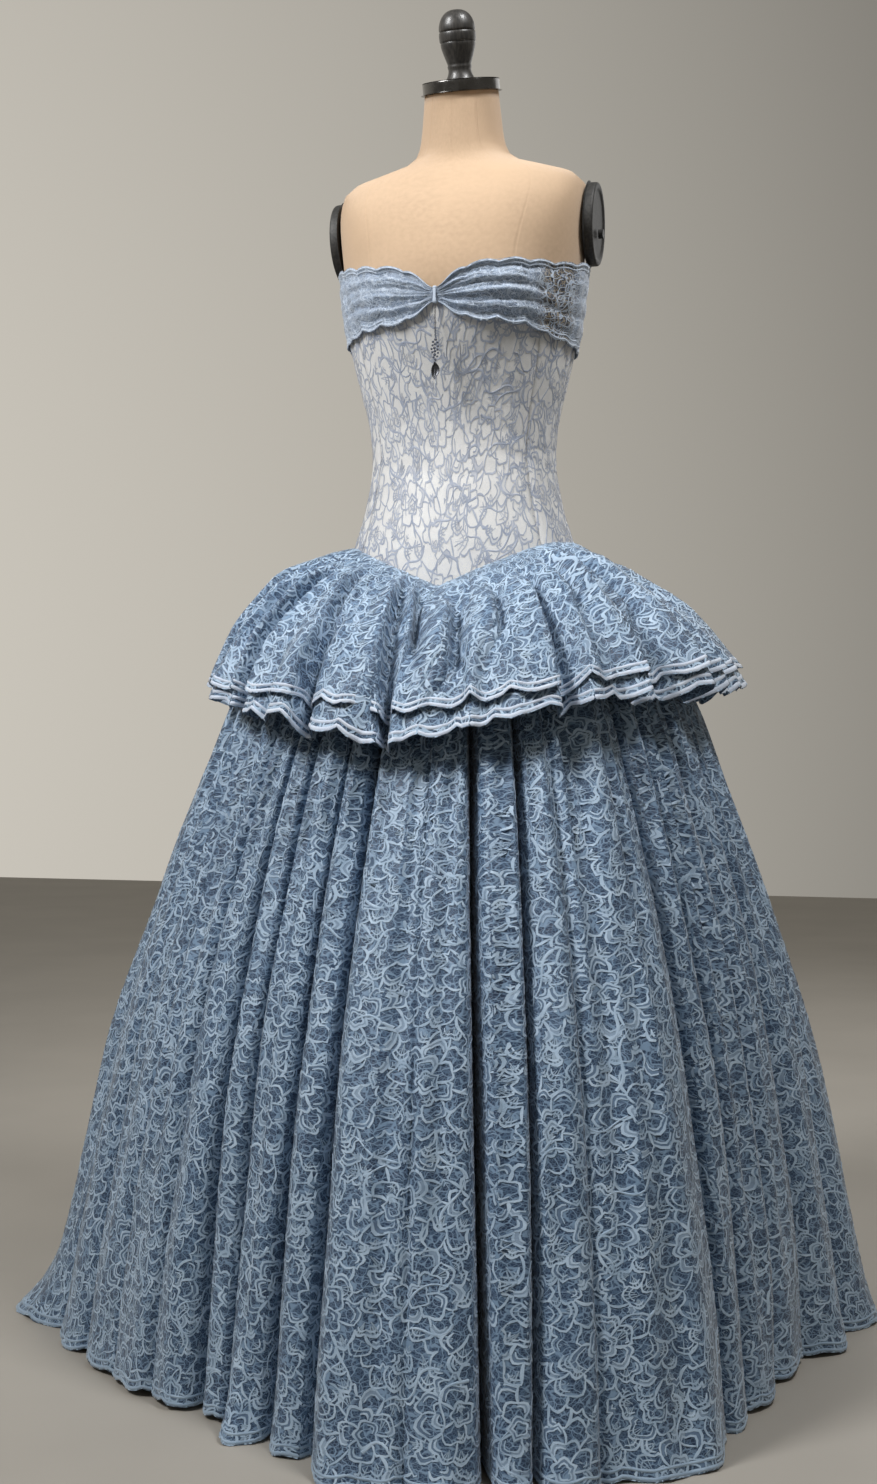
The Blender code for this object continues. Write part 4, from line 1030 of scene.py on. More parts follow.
def band_drape():
    """The band's outer face, top row first."""
    angles = np.concatenate([np.arange(-179.6, -BAND_FINE_TO, BAND_STEP),
                             np.arange(-BAND_FINE_TO, BAND_FINE_TO, BAND_STEP / 2),
                             np.arange(BAND_FINE_TO, 180.0, BAND_STEP)])
    angles = np.append(angles[angles < 179.0], 179.9)
    edges = read_rows(EDGE_HEIGHTS, from_front(angles))
    free = np.clip((from_front(angles) - 4.0) / 8.0, 0.0, 1.0)
    wave = np.sin(np.radians(angles) * BAND_RADIUS * math.pi / BAND_SCALLOP_WIDTH)
    scallop = BAND_SCALLOP * free * np.abs(wave) ** 0.7
    top, bottom = edges[:, 2] + scallop, edges[:, 1] - scallop
    for place, top_change, low_change, wide in BAND_TRIMS:
        there = bell(angles - place, wide)
        top, bottom = top + top_change * there, bottom + low_change * there
    v = np.linspace(1.0, 0.0, BAND_ROWS)[:, None]
    heights = bottom + (top - bottom) * v
    angles_grid, v_grid = np.broadcast_arrays(angles[None, :], v)
    offsets = band_offsets(angles_grid, v_grid) + BAND_WALL
    around = from_front(angles_grid)
    for start, drift, depth, wide, fades in BAND_TUCKS:
        for side in (-1.0, 1.0):
            line = start + side * drift * around / 100.0 + 0.03 * np.sin(around / 9.0 + 7.0 * start)
            reach = np.clip(around / 4.0, 0.0, 1.0) * bell(around, fades)
            there = np.sign(angles_grid) == side
            offsets = offsets - there * depth * reach * bell(v_grid - line, wide)
    crumple = BAND_CRUMPLE * np.sin(angles_grid * 1.3 + 9.0 * v_grid)
    crumple = crumple * np.sin(angles_grid * 0.77 + 3.0)
    offsets = offsets + crumple * np.clip(around / 20.0, 0.0, 1.0)
    return drape_of(body_points(angles_grid, heights, offsets))


# A raised cord's section, as shares of its width and its lift, and the step along it.
EDGE_CORD_SECTION = ((-0.5, 0.0), (-0.25, 0.85), (0.0, 1.0), (0.25, 0.85), (0.5, 0.0))
EDGE_CORD_STEP = 0.004


def edge_cords(name, drape, cords, length, finish, slot, lift=0.0009, upper=False):
    """Raised cords that follow a drape's lower edge, or its upper one, at set distances."""
    width = np.linalg.norm(np.diff(drape.points[-1], axis=0), axis=-1).sum()
    count = int(width / EDGE_CORD_STEP)
    shares = np.linspace(0.0, 1.0, count)
    points, faces = [], []
    for distance, wide in cords:
        start = len(points) * count
        for aside, high in EDGE_CORD_SECTION:
            down = (distance + aside * wide) / length
            downs = np.full(count, down if upper else 1.0 - down)
            points.append(lay_on(drape, shares, downs, np.full(count, high * lift)))
        for face in grid_faces(len(EDGE_CORD_SECTION), count):
            a, b, c, d = (start + corner for corner in face)
            faces.append((b, c, d, a) if upper else (a, d, c, b))
    points = np.concatenate(points)
    return new_piece(name, points, faces, [finish], slot, flat=points[:, ::2])


band_satin, tree, shader = new_finish("band_blue", BAND_BLUE, 0.5, {"Sheen Weight": 0.35})
place = flat_place(tree)
net = net_lines(tree, place, 560.0, 0.14)
shot = mixed_colour(tree, mottled(tree, place, 0.010, 0.36, 0.66, 5.0), BAND_BLUE, BAND_BLUE_DEEP)
# Round the loose stretch the ground turns to painted shadow with a few pale threads on it.
along = add_node(tree, "ShaderNodeSeparateXYZ", {"Vector": place})
from_loose = add_node(tree, "ShaderNodeMath", {0: along.outputs["X"], 1: LOOSE_PLACE},
                      operation="SUBTRACT")
apart = add_node(tree, "ShaderNodeMath", {0: from_loose.outputs[0]}, operation="ABSOLUTE")
loose = add_node(tree, "ShaderNodeMapRange",
                 {"Value": apart.outputs[0], "From Min": LOOSE_HALF[0],
                  "From Max": LOOSE_HALF[1], "To Min": 1.0, "To Max": 0.0})
threads = net_lines(tree, place, 210.0, 0.10)
paint(tree, shader, loose.outputs[0], mixed_colour(tree, net, shot, BAND_CORD),
      mixed_colour(tree, threads, LOOSE_PAINTED_SHADOW, LOOSE_THREAD))
emboss(tree, shader, net, 0.6)
band_cord, band_half = (cord_finish(*row) for row in BAND_CORDS)

BAND_LACE = LacePattern(cell=0.0165, flower_spacing=0.080, flower_size=0.019, echoed=0.6,
                        stems=0.026, stretch=0.62, cord_half=0.00080, lift=0.0005)
band = band_drape()
band_cut = flared_cut(*BAND_WIDTHS, BAND_LENGTH)
band_cloth = cloth_piece("bust_band_ruched", band, band_cut, BAND_CLOTH_WALL, band_satin,
                         "band_lace")
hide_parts("bust_band")
band_lace = lace_piece("bust_band_lace", band, band_cut, BAND_LACE, 60,
                       [band_cord, band_half, band_half, band_cord], "band_lace")
band_top, band_hem = (
    edge_cords(name, band, BAND_EDGE_CORDS, BAND_LENGTH, band_cord, "band_lace",
               BAND_EDGE_LIFT, upper)
    for name, upper in (("bust_band_top_cords", True), ("bust_band_lower_cords", False)))


# The gather loop. A narrow tube of the band's own fabric, folded flat and sewn round the
# band at the centre front, which draws the band in to a fraction of its height.
LOOP_WIDTH = 0.0040
LOOP_THICKNESS = 0.0012
LOOP_CLEARANCE = 0.0004
LOOP_SECTION = (
    # across the loop's width, out of its thickness, both as shares of half
    (-1.00, 0.00),
    (-0.85, 0.75),
    (-0.35, 0.95),
    (0.00, 0.70),
    (0.35, 0.95),
    (0.85, 0.75),
    (1.00, 0.00),
    (0.80, -0.80),
    (0.00, -0.90),
    (-0.80, -0.80),
)
LOOP_STEPS = 40
LOOP_SQUARENESS = 5.0
LOOP_PINCH = 0.22


def rounded_path(half_width, half_height, steps, squareness):
    """A closed path round a rounded box."""
    turns = np.linspace(0.0, 2 * math.pi, steps, endpoint=False)
    across, up = squared(np.cos(turns), squareness), squared(np.sin(turns), squareness)
    return np.stack([half_width * across, half_height * up], axis=-1)


centre_edges = read_rows(EDGE_HEIGHTS, [0.0])[0]
band_near = float(band_offsets(np.array(0.0), np.array(0.0)))
band_middle = body_points(0.0, centre_edges[1:].mean(), band_near + BAND_WALL / 2)
half_thick = BAND_WALL / 2 + LOOP_CLEARANCE + LOOP_THICKNESS / 2
half_tall = (centre_edges[2] - centre_edges[1]) / 2 + LOOP_CLEARANCE + LOOP_THICKNESS / 2
loop_path = rounded_path(half_thick, half_tall, LOOP_STEPS, LOOP_SQUARENESS)
loop_points = []
for k, (away, up) in enumerate(loop_path):
    before, after = loop_path[k - 1], loop_path[(k + 1) % LOOP_STEPS]
    out = unit(np.array((after[1] - before[1], before[0] - after[0])))
    narrow = 1.0 - LOOP_PINCH * bell(up, 0.4 * half_tall)
    for across, thick in LOOP_SECTION:
        reach = thick * LOOP_THICKNESS / 2
        loop_points.append((across * narrow * LOOP_WIDTH / 2,
                            band_middle[1] - away - out[0] * reach,
                            band_middle[2] + up + out[1] * reach))
loop_faces = grid_faces(LOOP_STEPS, len(LOOP_SECTION), closed=True, ring=True)
gather_loop = new_piece("gather_loop_folded", loop_points, loop_faces, [band_cord], "band_lace",
                        flat=np.array(loop_points)[:, [0, 2]])
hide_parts("gather_loop")


# The pendant. Oval links of fine darkened wire, then a cluster of small cut beads and a
# cast leaf with a raised rib, which swing from the gather loop together.
PENDANT_PIVOT = (0.0, -0.12737, 1.2212)
LINK_PITCH = 0.00195
LINKS = 20
LINK_HALF = (0.00125, 0.00072)
LINK_WIRE = 0.00026
LINK_STEPS, WIRE_STEPS = 12, 6
FIRST_LINK_DROP = 0.0012
LINK_TURN = 35.0
BEADS = (
    # across, out, drop, radius
    (0.0002, -0.0002, 0.0415, 0.0014),
    (-0.0016, -0.0004, 0.0440, 0.0013),
    (0.0015, 0.0003, 0.0447, 0.0012),
    (0.0001, -0.0010, 0.0470, 0.0015),
    (-0.0020, 0.0002, 0.0480, 0.0012),
    (0.0021, -0.0003, 0.0492, 0.0013),
    (-0.0006, 0.0002, 0.0512, 0.0016),
    (-0.0027, -0.0003, 0.0522, 0.0012),
    (0.0018, 0.0001, 0.0530, 0.0014),
    (0.0000, -0.0008, 0.0551, 0.0015),
    (-0.0021, 0.0002, 0.0560, 0.0013),
    (0.0022, -0.0002, 0.0572, 0.0012),
    (-0.0004, -0.0001, 0.0590, 0.0016),
    (0.0014, 0.0002, 0.0612, 0.0012),
    (-0.0013, -0.0002, 0.0620, 0.0013),
    (0.0001, -0.0002, 0.0648, 0.0014),
)
CLUSTER_SPREAD = 1.6
BEAD_GROWTH = 1.2
BEAD_SIDES = 8
BEAD_RINGS = (
    # radius, height, as shares of the bead's radius
    (0.30, 0.92),
    (0.80, 0.60),
    (1.00, 0.12),
    (0.94, -0.35),
    (0.55, -0.82),
    (0.20, -0.95),
)
LEAF_OUTLINE = (
    # drop below the pivot, half width, middle set to the side
    (0.0672, 0.0006, 0.0000),
    (0.0690, 0.0010, 0.0000),
    (0.0710, 0.0027, 0.0002),
    (0.0740, 0.0042, 0.0004),
    (0.0775, 0.0048, 0.0004),
    (0.0810, 0.0041, 0.0001),
    (0.0845, 0.0025, -0.0004),
    (0.0870, 0.0010, -0.0008),
    (0.0882, 0.0002, -0.0010),
)
LEAF_ROWS = 26
LEAF_COLUMNS = 13
LEAF_TOOTH_DEPTH, LEAF_TOOTH_PACE = 0.10, 1400.0
LEAF_RIB_HEIGHT, LEAF_RIB_WIDTH = 0.0007, 0.00045
LEAF_VEIN_HEIGHT, LEAF_VEIN_PACE, LEAF_VEIN_SLANT = 0.00022, 4200.0, 3.0
LEAF_CUP = 0.0009
LEAF_SET_OUT = -0.0004
LEAF_CURL, LEAF_CURL_PACE, LEAF_CURL_START = 0.0006, 150.0, 0.067
LEAF_METAL = 0.0006
DARK_STEEL, RUBBED_STEEL = (0.045, 0.046, 0.052), (0.13, 0.135, 0.15)
GLASS, GLASS_PAINTED_SHADE, GLASS_PAINTED_GLINT = (0.08, 0.09, 0.11), (0.02, 0.025, 0.035), (0.22, 0.24, 0.30)


def joined(shapes):
    """The points and faces of several shapes as one."""
    points, faces, start = [], [], 0
    for shape_points, shape_faces in shapes:
        points.append(np.asarray(shape_points).reshape(-1, 3))
        faces += [tuple(v + start for v in face) for face in shape_faces]
        start += len(points[-1])
    return np.concatenate(points), faces


def oval_link(middle, turn):
    """One link of bent wire, in an upright plane turned round the vertical."""
    long, wide = LINK_HALF
    round_link, round_wire = np.meshgrid(
        *(np.linspace(0, 2 * math.pi, steps, endpoint=False) for steps in (LINK_STEPS, WIRE_STEPS)),
        indexing="ij")
    out = unit(np.stack([np.cos(round_link) / wide, np.sin(round_link) / long], axis=-1))
    across = wide * np.cos(round_link) + LINK_WIRE * np.cos(round_wire) * out[..., 0]
    up = long * np.sin(round_link) + LINK_WIRE * np.cos(round_wire) * out[..., 1]
    through = LINK_WIRE * np.sin(round_wire)
    points = np.stack([across * math.cos(turn) - through * math.sin(turn),
                       across * math.sin(turn) + through * math.cos(turn), up], axis=-1)
    faces = grid_faces(LINK_STEPS, WIRE_STEPS, closed=True, ring=True)
    return points.reshape(-1, 3) + middle, faces


def cut_bead(middle, radius):
    """A bead with flat cut faces round it."""
    turns = np.linspace(0, 2 * math.pi, BEAD_SIDES, endpoint=False)
    points = [(radius * share * math.cos(turn), radius * share * math.sin(turn), radius * height)
              for share, height in BEAD_RINGS for turn in turns]
    faces = [face[::-1] for face in grid_faces(len(BEAD_RINGS), BEAD_SIDES, closed=True)]
    first = tuple(range(BEAD_SIDES))
    last = tuple(range(len(points) - BEAD_SIDES, len(points)))
    return np.array(points) + middle, faces + [first, last[::-1]]


dark_steel = patched_finish("darkened_steel", DARK_STEEL, RUBBED_STEEL, 0.0012, 0.3, 1.0)
cut_glass, tree, shader = new_finish("cut_grey_glass", GLASS, 0.08, {"Coat Weight": 0.6})
# The beads are painted in small dark and pale patches: painted shade and painted glints inside the
# grey cut glass.
depths = mottled(tree, object_place(tree), 0.0009, 0.3, 0.7)
paint(tree, shader, depths, GLASS_PAINTED_SHADE, GLASS_PAINTED_GLINT)

pivot = np.array(PENDANT_PIVOT)
links = [oval_link(pivot - (0, 0, FIRST_LINK_DROP + k * LINK_PITCH),
                   math.radians(LINK_TURN + 90 * (k % 2))) for k in range(LINKS)]
chain = new_piece("pendant_links", *joined(links), [dark_steel], "steel", body="pendant")
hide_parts("pendant_chain")
beads = [cut_bead(pivot + (CLUSTER_SPREAD * across, out, -drop), BEAD_GROWTH * radius)
         for across, out, drop, radius in BEADS]
bead_cluster = new_piece("pendant_beads", *joined(beads), [cut_glass], "steel", body="pendant")
bead_cluster.data.shade_flat()
leaf_drops = np.linspace(LEAF_OUTLINE[0][0], LEAF_OUTLINE[-1][0], LEAF_ROWS)[:, None]
half_width, aside = np.moveaxis(read_rows(LEAF_OUTLINE, leaf_drops[:, 0]), -1, 0)[..., None]
across = np.linspace(-1.0, 1.0, LEAF_COLUMNS)
teeth = 1.0 + LEAF_TOOTH_DEPTH * np.abs(np.sin(leaf_drops * LEAF_TOOTH_PACE))
rib = LEAF_RIB_HEIGHT * bell(across * half_width, LEAF_RIB_WIDTH)
slant = np.abs(across) * LEAF_VEIN_SLANT
veins = LEAF_VEIN_HEIGHT * np.sin(leaf_drops * LEAF_VEIN_PACE - slant) * np.abs(across)
cupped = LEAF_CUP * (np.abs(across) ** 1.6)
curl = LEAF_CURL * np.sin((leaf_drops - LEAF_CURL_START) * LEAF_CURL_PACE)
leaf_x = aside + across * half_width * teeth
leaf_y = LEAF_SET_OUT - rib - veins - cupped + curl
leaf_grid = np.stack(np.broadcast_arrays(leaf_x, leaf_y, -leaf_drops), axis=-1) + pivot
leaf_faces = [face[::-1] for face in grid_faces(LEAF_ROWS, LEAF_COLUMNS)]
leaf = new_piece("pendant_leaf", leaf_grid, leaf_faces, [dark_steel], "steel", body="pendant")
thicken(leaf, LEAF_METAL, 0.0)
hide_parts("pendant_charm")


# The zip. Two rows of pressed teeth on woven tape close the bodice's centre back, up to
# the slider, whose pull tab hangs from a bridge on its face.
ZIP_SLIDER = (0.0, 0.1139, 1.2760)
ZIP_SLIDER_HALF = (0.0030, 0.0050)
ZIP_SLIDER_DEPTH = 0.0026
ZIP_HINGE = (0.0, 0.11663, 1.2785)
TAB_HALF = (0.0025, 0.0115)
TAB_HOLE = (0.0012, 0.0022)
TAB_THICKNESS = 0.0010
TOOTH_PITCH = 0.0015
TOOTH = (0.0016, 0.0009, 0.0008)
TOOTH_POINT = 0.55
TOOTH_OVERLAP = 0.0004
TOOTH_SET_IN, TAPE_SET_IN = 0.62, 0.4
TAPE_ROWS, TAPE_COLUMNS = 60, 5
TAPE_WALL = 0.0006
TAPE_THREAD = 0.0006
TAPE_WHITE, TAPE_SHADE = (0.66, 0.67, 0.70), (0.58, 0.60, 0.65)
PLATE_STEPS = 32
PLATE_EDGE = 0.22
SLIDER_HOLE, SLIDER_HOLE_UP = (0.0006, 0.0009), 0.0030
TAB_HINGE_DROP = 0.0010
TAB_HOLE_UP = -0.0070


def pressed_plate(middle, halves, depth, hole, hole_up, squareness):
    """A flat plate with rounded edges and one oval hole, standing square to Y."""
    outer = rounded_path(*halves, PLATE_STEPS, squareness)
    inner = rounded_path(*hole, PLATE_STEPS, 2.0) + (0.0, hole_up)
    edge = PLATE_EDGE * depth
    face = outer - unit(outer) * edge
    rings = ((face, 0.5), (outer, 0.5 - edge / depth), (outer, edge / depth - 0.5),
             (face, -0.5), (inner, -0.5), (inner, 0.5))
    points = [(x, y * depth, z) for ring, y in rings for x, z in ring]
    faces = grid_faces(len(rings), PLATE_STEPS, closed=True, ring=True)
    return np.array(points) + middle, [(a, d, c, b) for a, b, c, d in faces]


back_edges = read_rows(EDGE_HEIGHTS, [180.0])[0]
zip_low, zip_high = back_edges[0] - SEAM_ALLOWANCE, back_edges[2] - BAND_ABOVE_BODICE
tape_heights = np.linspace(zip_high, zip_low, TAPE_ROWS)[:, None]
tape_offsets = bodice_ease(tape_heights) + TAPE_SET_IN * BODICE_WALL
tape_grid = body_points(180.0, tape_heights, tape_offsets)
tape_grid = np.repeat(tape_grid, TAPE_COLUMNS, axis=1)
tape_grid[..., 0] += np.linspace(ZIP_WIDTH / 2, -ZIP_WIDTH / 2, TAPE_COLUMNS)
tape_finish, tree, shader = new_finish("zip_tape", TAPE_WHITE, 0.8, {"Sheen Weight": 0.2})
tape_tone = mottled(tree, flat_place(tree), 0.002)
paint(tree, shader, tape_tone, TAPE_WHITE, TAPE_SHADE)
emboss(tree, shader, woven(tree, flat_place(tree), TAPE_THREAD), 0.6)
tape = new_piece("zip_tape", tape_grid, grid_faces(TAPE_ROWS, TAPE_COLUMNS), [tape_finish],
                 "white_lace", flat=tape_grid[..., [0, 2]])
thicken(tape, TAPE_WALL)
teeth = []
wide, deep, tall = (size / 2 for size in TOOTH)
for k in range(int((zip_high - zip_low) / TOOTH_PITCH) * 2):
    height = zip_low + (k + 0.5) * TOOTH_PITCH / 2
    side = 1 if k % 2 else -1
    root = body_points(180.0, height, bodice_ease(height) + TOOTH_SET_IN * BODICE_WALL)
    points = []
    for end, taper in ((-1.0, 1.0), (1.0, TOOTH_POINT)):
        for out, up in ((-1, -1), (1, -1), (1, 1), (-1, 1)):
            points.append(
                root + (side * (TOOTH_OVERLAP - end * wide), out * deep, up * tall * taper))
    faces = [(0, 1, 2, 3), (7, 6, 5, 4), (0, 4, 5, 1), (1, 5, 6, 2), (2, 6, 7, 3), (3, 7, 4, 0)]
    teeth.append((points, faces if side > 0 else [face[::-1] for face in faces]))
zip_teeth = new_piece("zip_teeth", *joined(teeth), [bare_steel], "steel")
zip_teeth.data.set_sharp_from_angle(angle=math.radians(40))
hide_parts("zip_chain")

slider_plate = pressed_plate(ZIP_SLIDER, ZIP_SLIDER_HALF, ZIP_SLIDER_DEPTH, SLIDER_HOLE,
                             SLIDER_HOLE_UP, 3.0)
slider = new_piece("zip_slider_body", *slider_plate, [bare_steel], "steel")
slider.data.set_sharp_from_angle(angle=math.radians(35))
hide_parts("zip_slider")
tab_middle = np.array(ZIP_HINGE) + (0.0, 0.0, TAB_HINGE_DROP - TAB_HALF[1])
tab_plate = pressed_plate(tab_middle, TAB_HALF, TAB_THICKNESS, TAB_HOLE, TAB_HOLE_UP, 3.5)
tab = new_piece("zip_pull_tab_plate", *tab_plate, [bare_steel], "steel", body="pull_tab")
tab.data.set_sharp_from_angle(angle=math.radians(35))
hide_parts("zip_pull_tab")


# The skirt. Five panels of mid-blue satin under net lace with pale blue cords, gathered
# into the waist seam. They fall in deep folds to a scalloped hem that rests on the floor.
SKIRT_SPREAD = (
    # drop, right side, left side, front, back, slow share, groove share, kick share
    (0.000, 0.0000, 0.0000, 0.0000, 0.0000, 0.00, 0.00, 0.00),
    (0.015, 0.0400, 0.0120, 0.0280, 0.0360, 0.02, 0.10, 0.00),
    (0.040, 0.0710, 0.0280, 0.0540, 0.0660, 0.04, 0.22, 0.00),
    (0.080, 0.1010, 0.0590, 0.0890, 0.1000, 0.07, 0.34, 0.00),
    (0.130, 0.1250, 0.1030, 0.1250, 0.1310, 0.10, 0.44, 0.00),
    (0.200, 0.1445, 0.1445, 0.1570, 0.1580, 0.15, 0.56, 0.00),
    (0.300, 0.1820, 0.1820, 0.1980, 0.2000, 0.22, 0.66, 0.00),
    (0.450, 0.2350, 0.2350, 0.2560, 0.2580, 0.36, 0.78, 0.00),
    (0.600, 0.2800, 0.2800, 0.3050, 0.3070, 0.52, 0.87, 0.00),
    (0.750, 0.3140, 0.3140, 0.3420, 0.3440, 0.70, 0.93, 0.00),
    (0.880, 0.3400, 0.3400, 0.3720, 0.3730, 0.87, 0.98, 0.04),
    (0.955, 0.3510, 0.3510, 0.3860, 0.3860, 0.96, 1.00, 0.40),
    (1.000, 0.3570, 0.3570, 0.3940, 0.3940, 1.00, 1.00, 1.00),
)
SKIRT_FOLDS = (
    # angle, top shift, groove, crest out, kick, lift
    (-98.0, 0.0, 0.030, 0.006, 0.004, 0.000),
    (-86.0, 0.0, 0.016, 0.018, 0.045, 0.000),
    (-68.0, 2.0, 0.022, -0.014, 0.004, 0.000),
    (-57.0, 3.0, 0.016, -0.038, 0.000, 0.010),
    (-46.0, 3.0, 0.008, -0.052, 0.000, 0.013),
    (-36.0, 2.0, 0.012, -0.060, 0.000, 0.013),
    (-27.5, -1.5, 0.034, -0.078, 0.000, 0.010),
    (-20.5, -1.5, 0.032, -0.060, 0.022, 0.000),
    (-12.0, -1.0, 0.030, -0.048, 0.006, 0.000),
    (-4.5, -2.0, 0.044, 0.004, 0.010, 0.000),
    (8.5, -2.0, 0.005, 0.006, 0.010, 0.000),
    (17.2, -3.0, 0.038, 0.006, 0.008, 0.000),
    (22.8, 3.0, 0.026, 0.008, 0.008, 0.000),
    (30.5, 2.0, 0.010, 0.006, 0.010, 0.000),
    (51.0, 1.0, 0.034, -0.042, 0.000, 0.000),
    (58.0, 1.0, 0.028, -0.060, 0.000, 0.010),
    (70.0, 3.0, 0.030, -0.076, 0.000, 0.012),
    (84.0, 2.0, 0.030, -0.040, 0.004, 0.006),
    (97.0, 0.0, 0.034, 0.004, 0.012, 0.000),
    (112.0, 0.0, 0.028, 0.006, 0.010, 0.000),
    (128.0, 0.0, 0.034, -0.008, 0.004, 0.000),
    (144.0, 0.0, 0.026, 0.008, 0.008, 0.000),
    (161.0, 0.0, 0.036, 0.000, 0.006, 0.000),
    (180.0, 0.0, 0.024, 0.010, 0.012, 0.000),
    (197.0, 0.0, 0.034, -0.006, 0.004, 0.000),
    (213.0, 0.0, 0.028, 0.006, 0.008, 0.000),
    (230.0, 0.0, 0.036, -0.010, 0.004, 0.000),
    (246.0, 0.0, 0.026, 0.004, 0.008, 0.000),
)
SKIRT_PANELS = (
    # node, first groove, last groove, flat top width, flat hem width
    ("skirt_front_right", -98.0, -27.5, 0.30, 0.86),
    ("skirt_front_centre", -27.5, 51.0, 0.40, 1.08),
    ("skirt_front_left", 51.0, 97.0, 0.22, 0.54),
    ("skirt_back_left", 97.0, 180.0, 0.36, 0.98),
    ("skirt_back_right", 180.0, 262.0, 0.36, 0.96),
)
SKIRT_LENGTH = 1.05
CREST_ROUNDNESS = 0.8
FOLD_COLUMN = 0.72
GROOVE_DETAIL = 0.12
SLIT_DEPTH = 0.024
SLIT_LIP_PLACE = 1.1
SLIT_LIP_WIDTH = 0.7
SLIT_LIP_RISE = 0.005
SLIT_LIP_LEAN = 0.75
SLITS = (
    # groove's angle, how strong its slit is
    (-98.0, 0.3),
    (-68.0, 0.3),
    (-46.0, 0.1),
    (-36.0, 0.1),
    (-27.5, 0.8),
    (-12.0, 0.8),
    (-4.5, 1.6),
    (8.5, 0.15),
    (17.2, 1.6),
    (22.8, 0.9),
    (30.5, 0.15),
    (51.0, 1.9),
    (70.0, 1.5),
    (97.0, 1.0),
    (246.0, 1.0),
)
SKIRT_ROWS = 56
RING_GAP = 0.0013
SLIT_FROM = (0.12, 0.24)
GROOVE_CALM = 0.12
SOFT_CREASES = (
    # hem angle, waist angle, from drop, to drop, depth, width in degrees
    (-92.0, -90.0, 0.22, 0.95, 0.0050, 1.6),
    (-78.0, -72.0, 0.30, 0.98, 0.0045, 1.8),
    (-74.0, -77.0, 0.55, 1.10, 0.0050, 1.5),
    (-62.0, -58.0, 0.20, 0.70, 0.0040, 1.3),
    (-52.0, -48.0, 0.18, 0.90, 0.0040, 1.3),
    (-41.0, -38.0, 0.20, 0.75, 0.0045, 1.2),
    (-31.0, -31.0, 0.20, 0.60, 0.0035, 1.0),
    (-16.5, -18.0, 0.25, 0.95, 0.0040, 1.1),
    (1.5, -1.0, 0.22, 1.05, 0.0055, 1.4),
    (4.5, 5.0, 0.55, 1.10, 0.0045, 1.1),
    (12.5, 10.5, 0.20, 0.80, 0.0045, 1.2),
    (20.2, 21.0, 0.20, 0.95, 0.0040, 0.9),
    (26.5, 27.0, 0.25, 0.85, 0.0040, 1.1),
    (35.5, 37.0, 0.20, 0.80, 0.0050, 1.4),
    (40.5, 40.0, 0.45, 1.05, 0.0050, 1.7),
    (46.0, 44.0, 0.20, 0.70, 0.0040, 1.2),
    (55.0, 54.0, 0.22, 0.85, 0.0035, 1.0),
    (64.0, 63.0, 0.20, 0.95, 0.0045, 1.3),
    (77.0, 78.0, 0.25, 0.90, 0.0045, 1.4),
    (90.5, 89.0, 0.20, 0.95, 0.0040, 1.3),
    (104.0, 103.0, 0.22, 1.02, 0.0050, 1.6),
    (120.0, 121.0, 0.20, 0.80, 0.0045, 1.6),
    (136.0, 134.0, 0.35, 1.05, 0.0050, 1.7),
    (152.0, 153.0, 0.20, 0.90, 0.0045, 1.6),
    (170.0, 169.0, 0.25, 1.05, 0.0050, 1.8),
    (188.0, 189.0, 0.20, 0.90, 0.0045, 1.6),
    (205.0, 203.0, 0.35, 1.05, 0.0050, 1.7),
    (221.0, 222.0, 0.20, 0.85, 0.0045, 1.6),
    (238.0, 237.0, 0.25, 1.05, 0.0050, 1.7),
    (254.0, 255.0, 0.20, 0.90, 0.0045, 1.6),
)
CREASE_STRENGTH = 1.5
CREASE_RIM = 0.45
GATHER_RIPPLE = 0.0032
SLACK_DEPTH = 0.0030
LIFT_SHARE = 0.35
HEM_FULLNESS = 1.35
HEM_SCALLOP_WIDTH = 0.060
HEM_SCALLOP_DEPTH = 0.0065
# The satin ground is painted darker than its own mid-blue, as painted shade in the holes of the
# lace, and darker still in soft patches of painted shadow.
DEEP_BLUE = (0.021, 0.054, 0.118)
SHADOW_BLUE = (0.011, 0.031, 0.076)
NET_BLUE = (0.095, 0.172, 0.285)
MESH_BLUE = (0.225, 0.345, 0.505)
BLUE_CORDS = (
    # finish, colour, paler tone, thread: outline cord, thin cord, half work, solid work
    ("pale_blue_cord", (0.345, 0.485, 0.65), (0.50, 0.645, 0.81), 0.0010),
    ("blue_net_cord", (0.28, 0.40, 0.55), (0.36, 0.48, 0.61), 0.0008),
    ("blue_half_worked", (0.10, 0.17, 0.28), (0.15, 0.24, 0.37), 0.0008),
    ("blue_worked_solid", (0.22, 0.32, 0.46), (0.30, 0.41, 0.55), 0.0008),
)
BLUE_RELIEF_DEPTH = 0.0003
SKIRT_CLOTH_WALL = 0.0010
HEM_CORDS = (
    # distance from the edge, width
    (0.0030, 0.0042),
    (0.0110, 0.0034),
)


def seam_heights(angles):
    return read_rows(EDGE_HEIGHTS, from_front(angles))[..., 0]


def spread_points(angles, drops):
    """The skirt's smooth cone, before its folds, and the level ways out of it."""
    angles, drops = np.broadcast_arrays(angles, drops)
    heights = seam_heights(angles)
    ring = body_points(angles, heights, bodice_ease(heights) + BODICE_WALL + RING_GAP)
    right, left, front, back = np.moveaxis(read_rows(SKIRT_SPREAD, drops)[..., :4], -1, 0)
    turns = np.radians(angles)
    side = right + (left - right) * np.maximum(np.sin(turns), 0.0) ** 2
    reach = np.where(np.cos(turns) > 0, front, back)
    points = ring + np.stack(
        [side * np.sin(turns), -reach * np.cos(turns), 0.0 * side], axis=-1)
    points[..., 2] = heights * (1.0 - drops)
    half_width, depth = np.moveaxis(read_rows(BODY_SECTIONS, heights)[..., :2], -1, 0)
    return points, level_outward(angles, half_width + side, depth + reach)


def crest_shape(u):
    """From 0 in the groove at either side of a fold to 1 on its crest."""
    return np.maximum(np.sin(math.pi * u), 0.0) ** CREST_ROUNDNESS


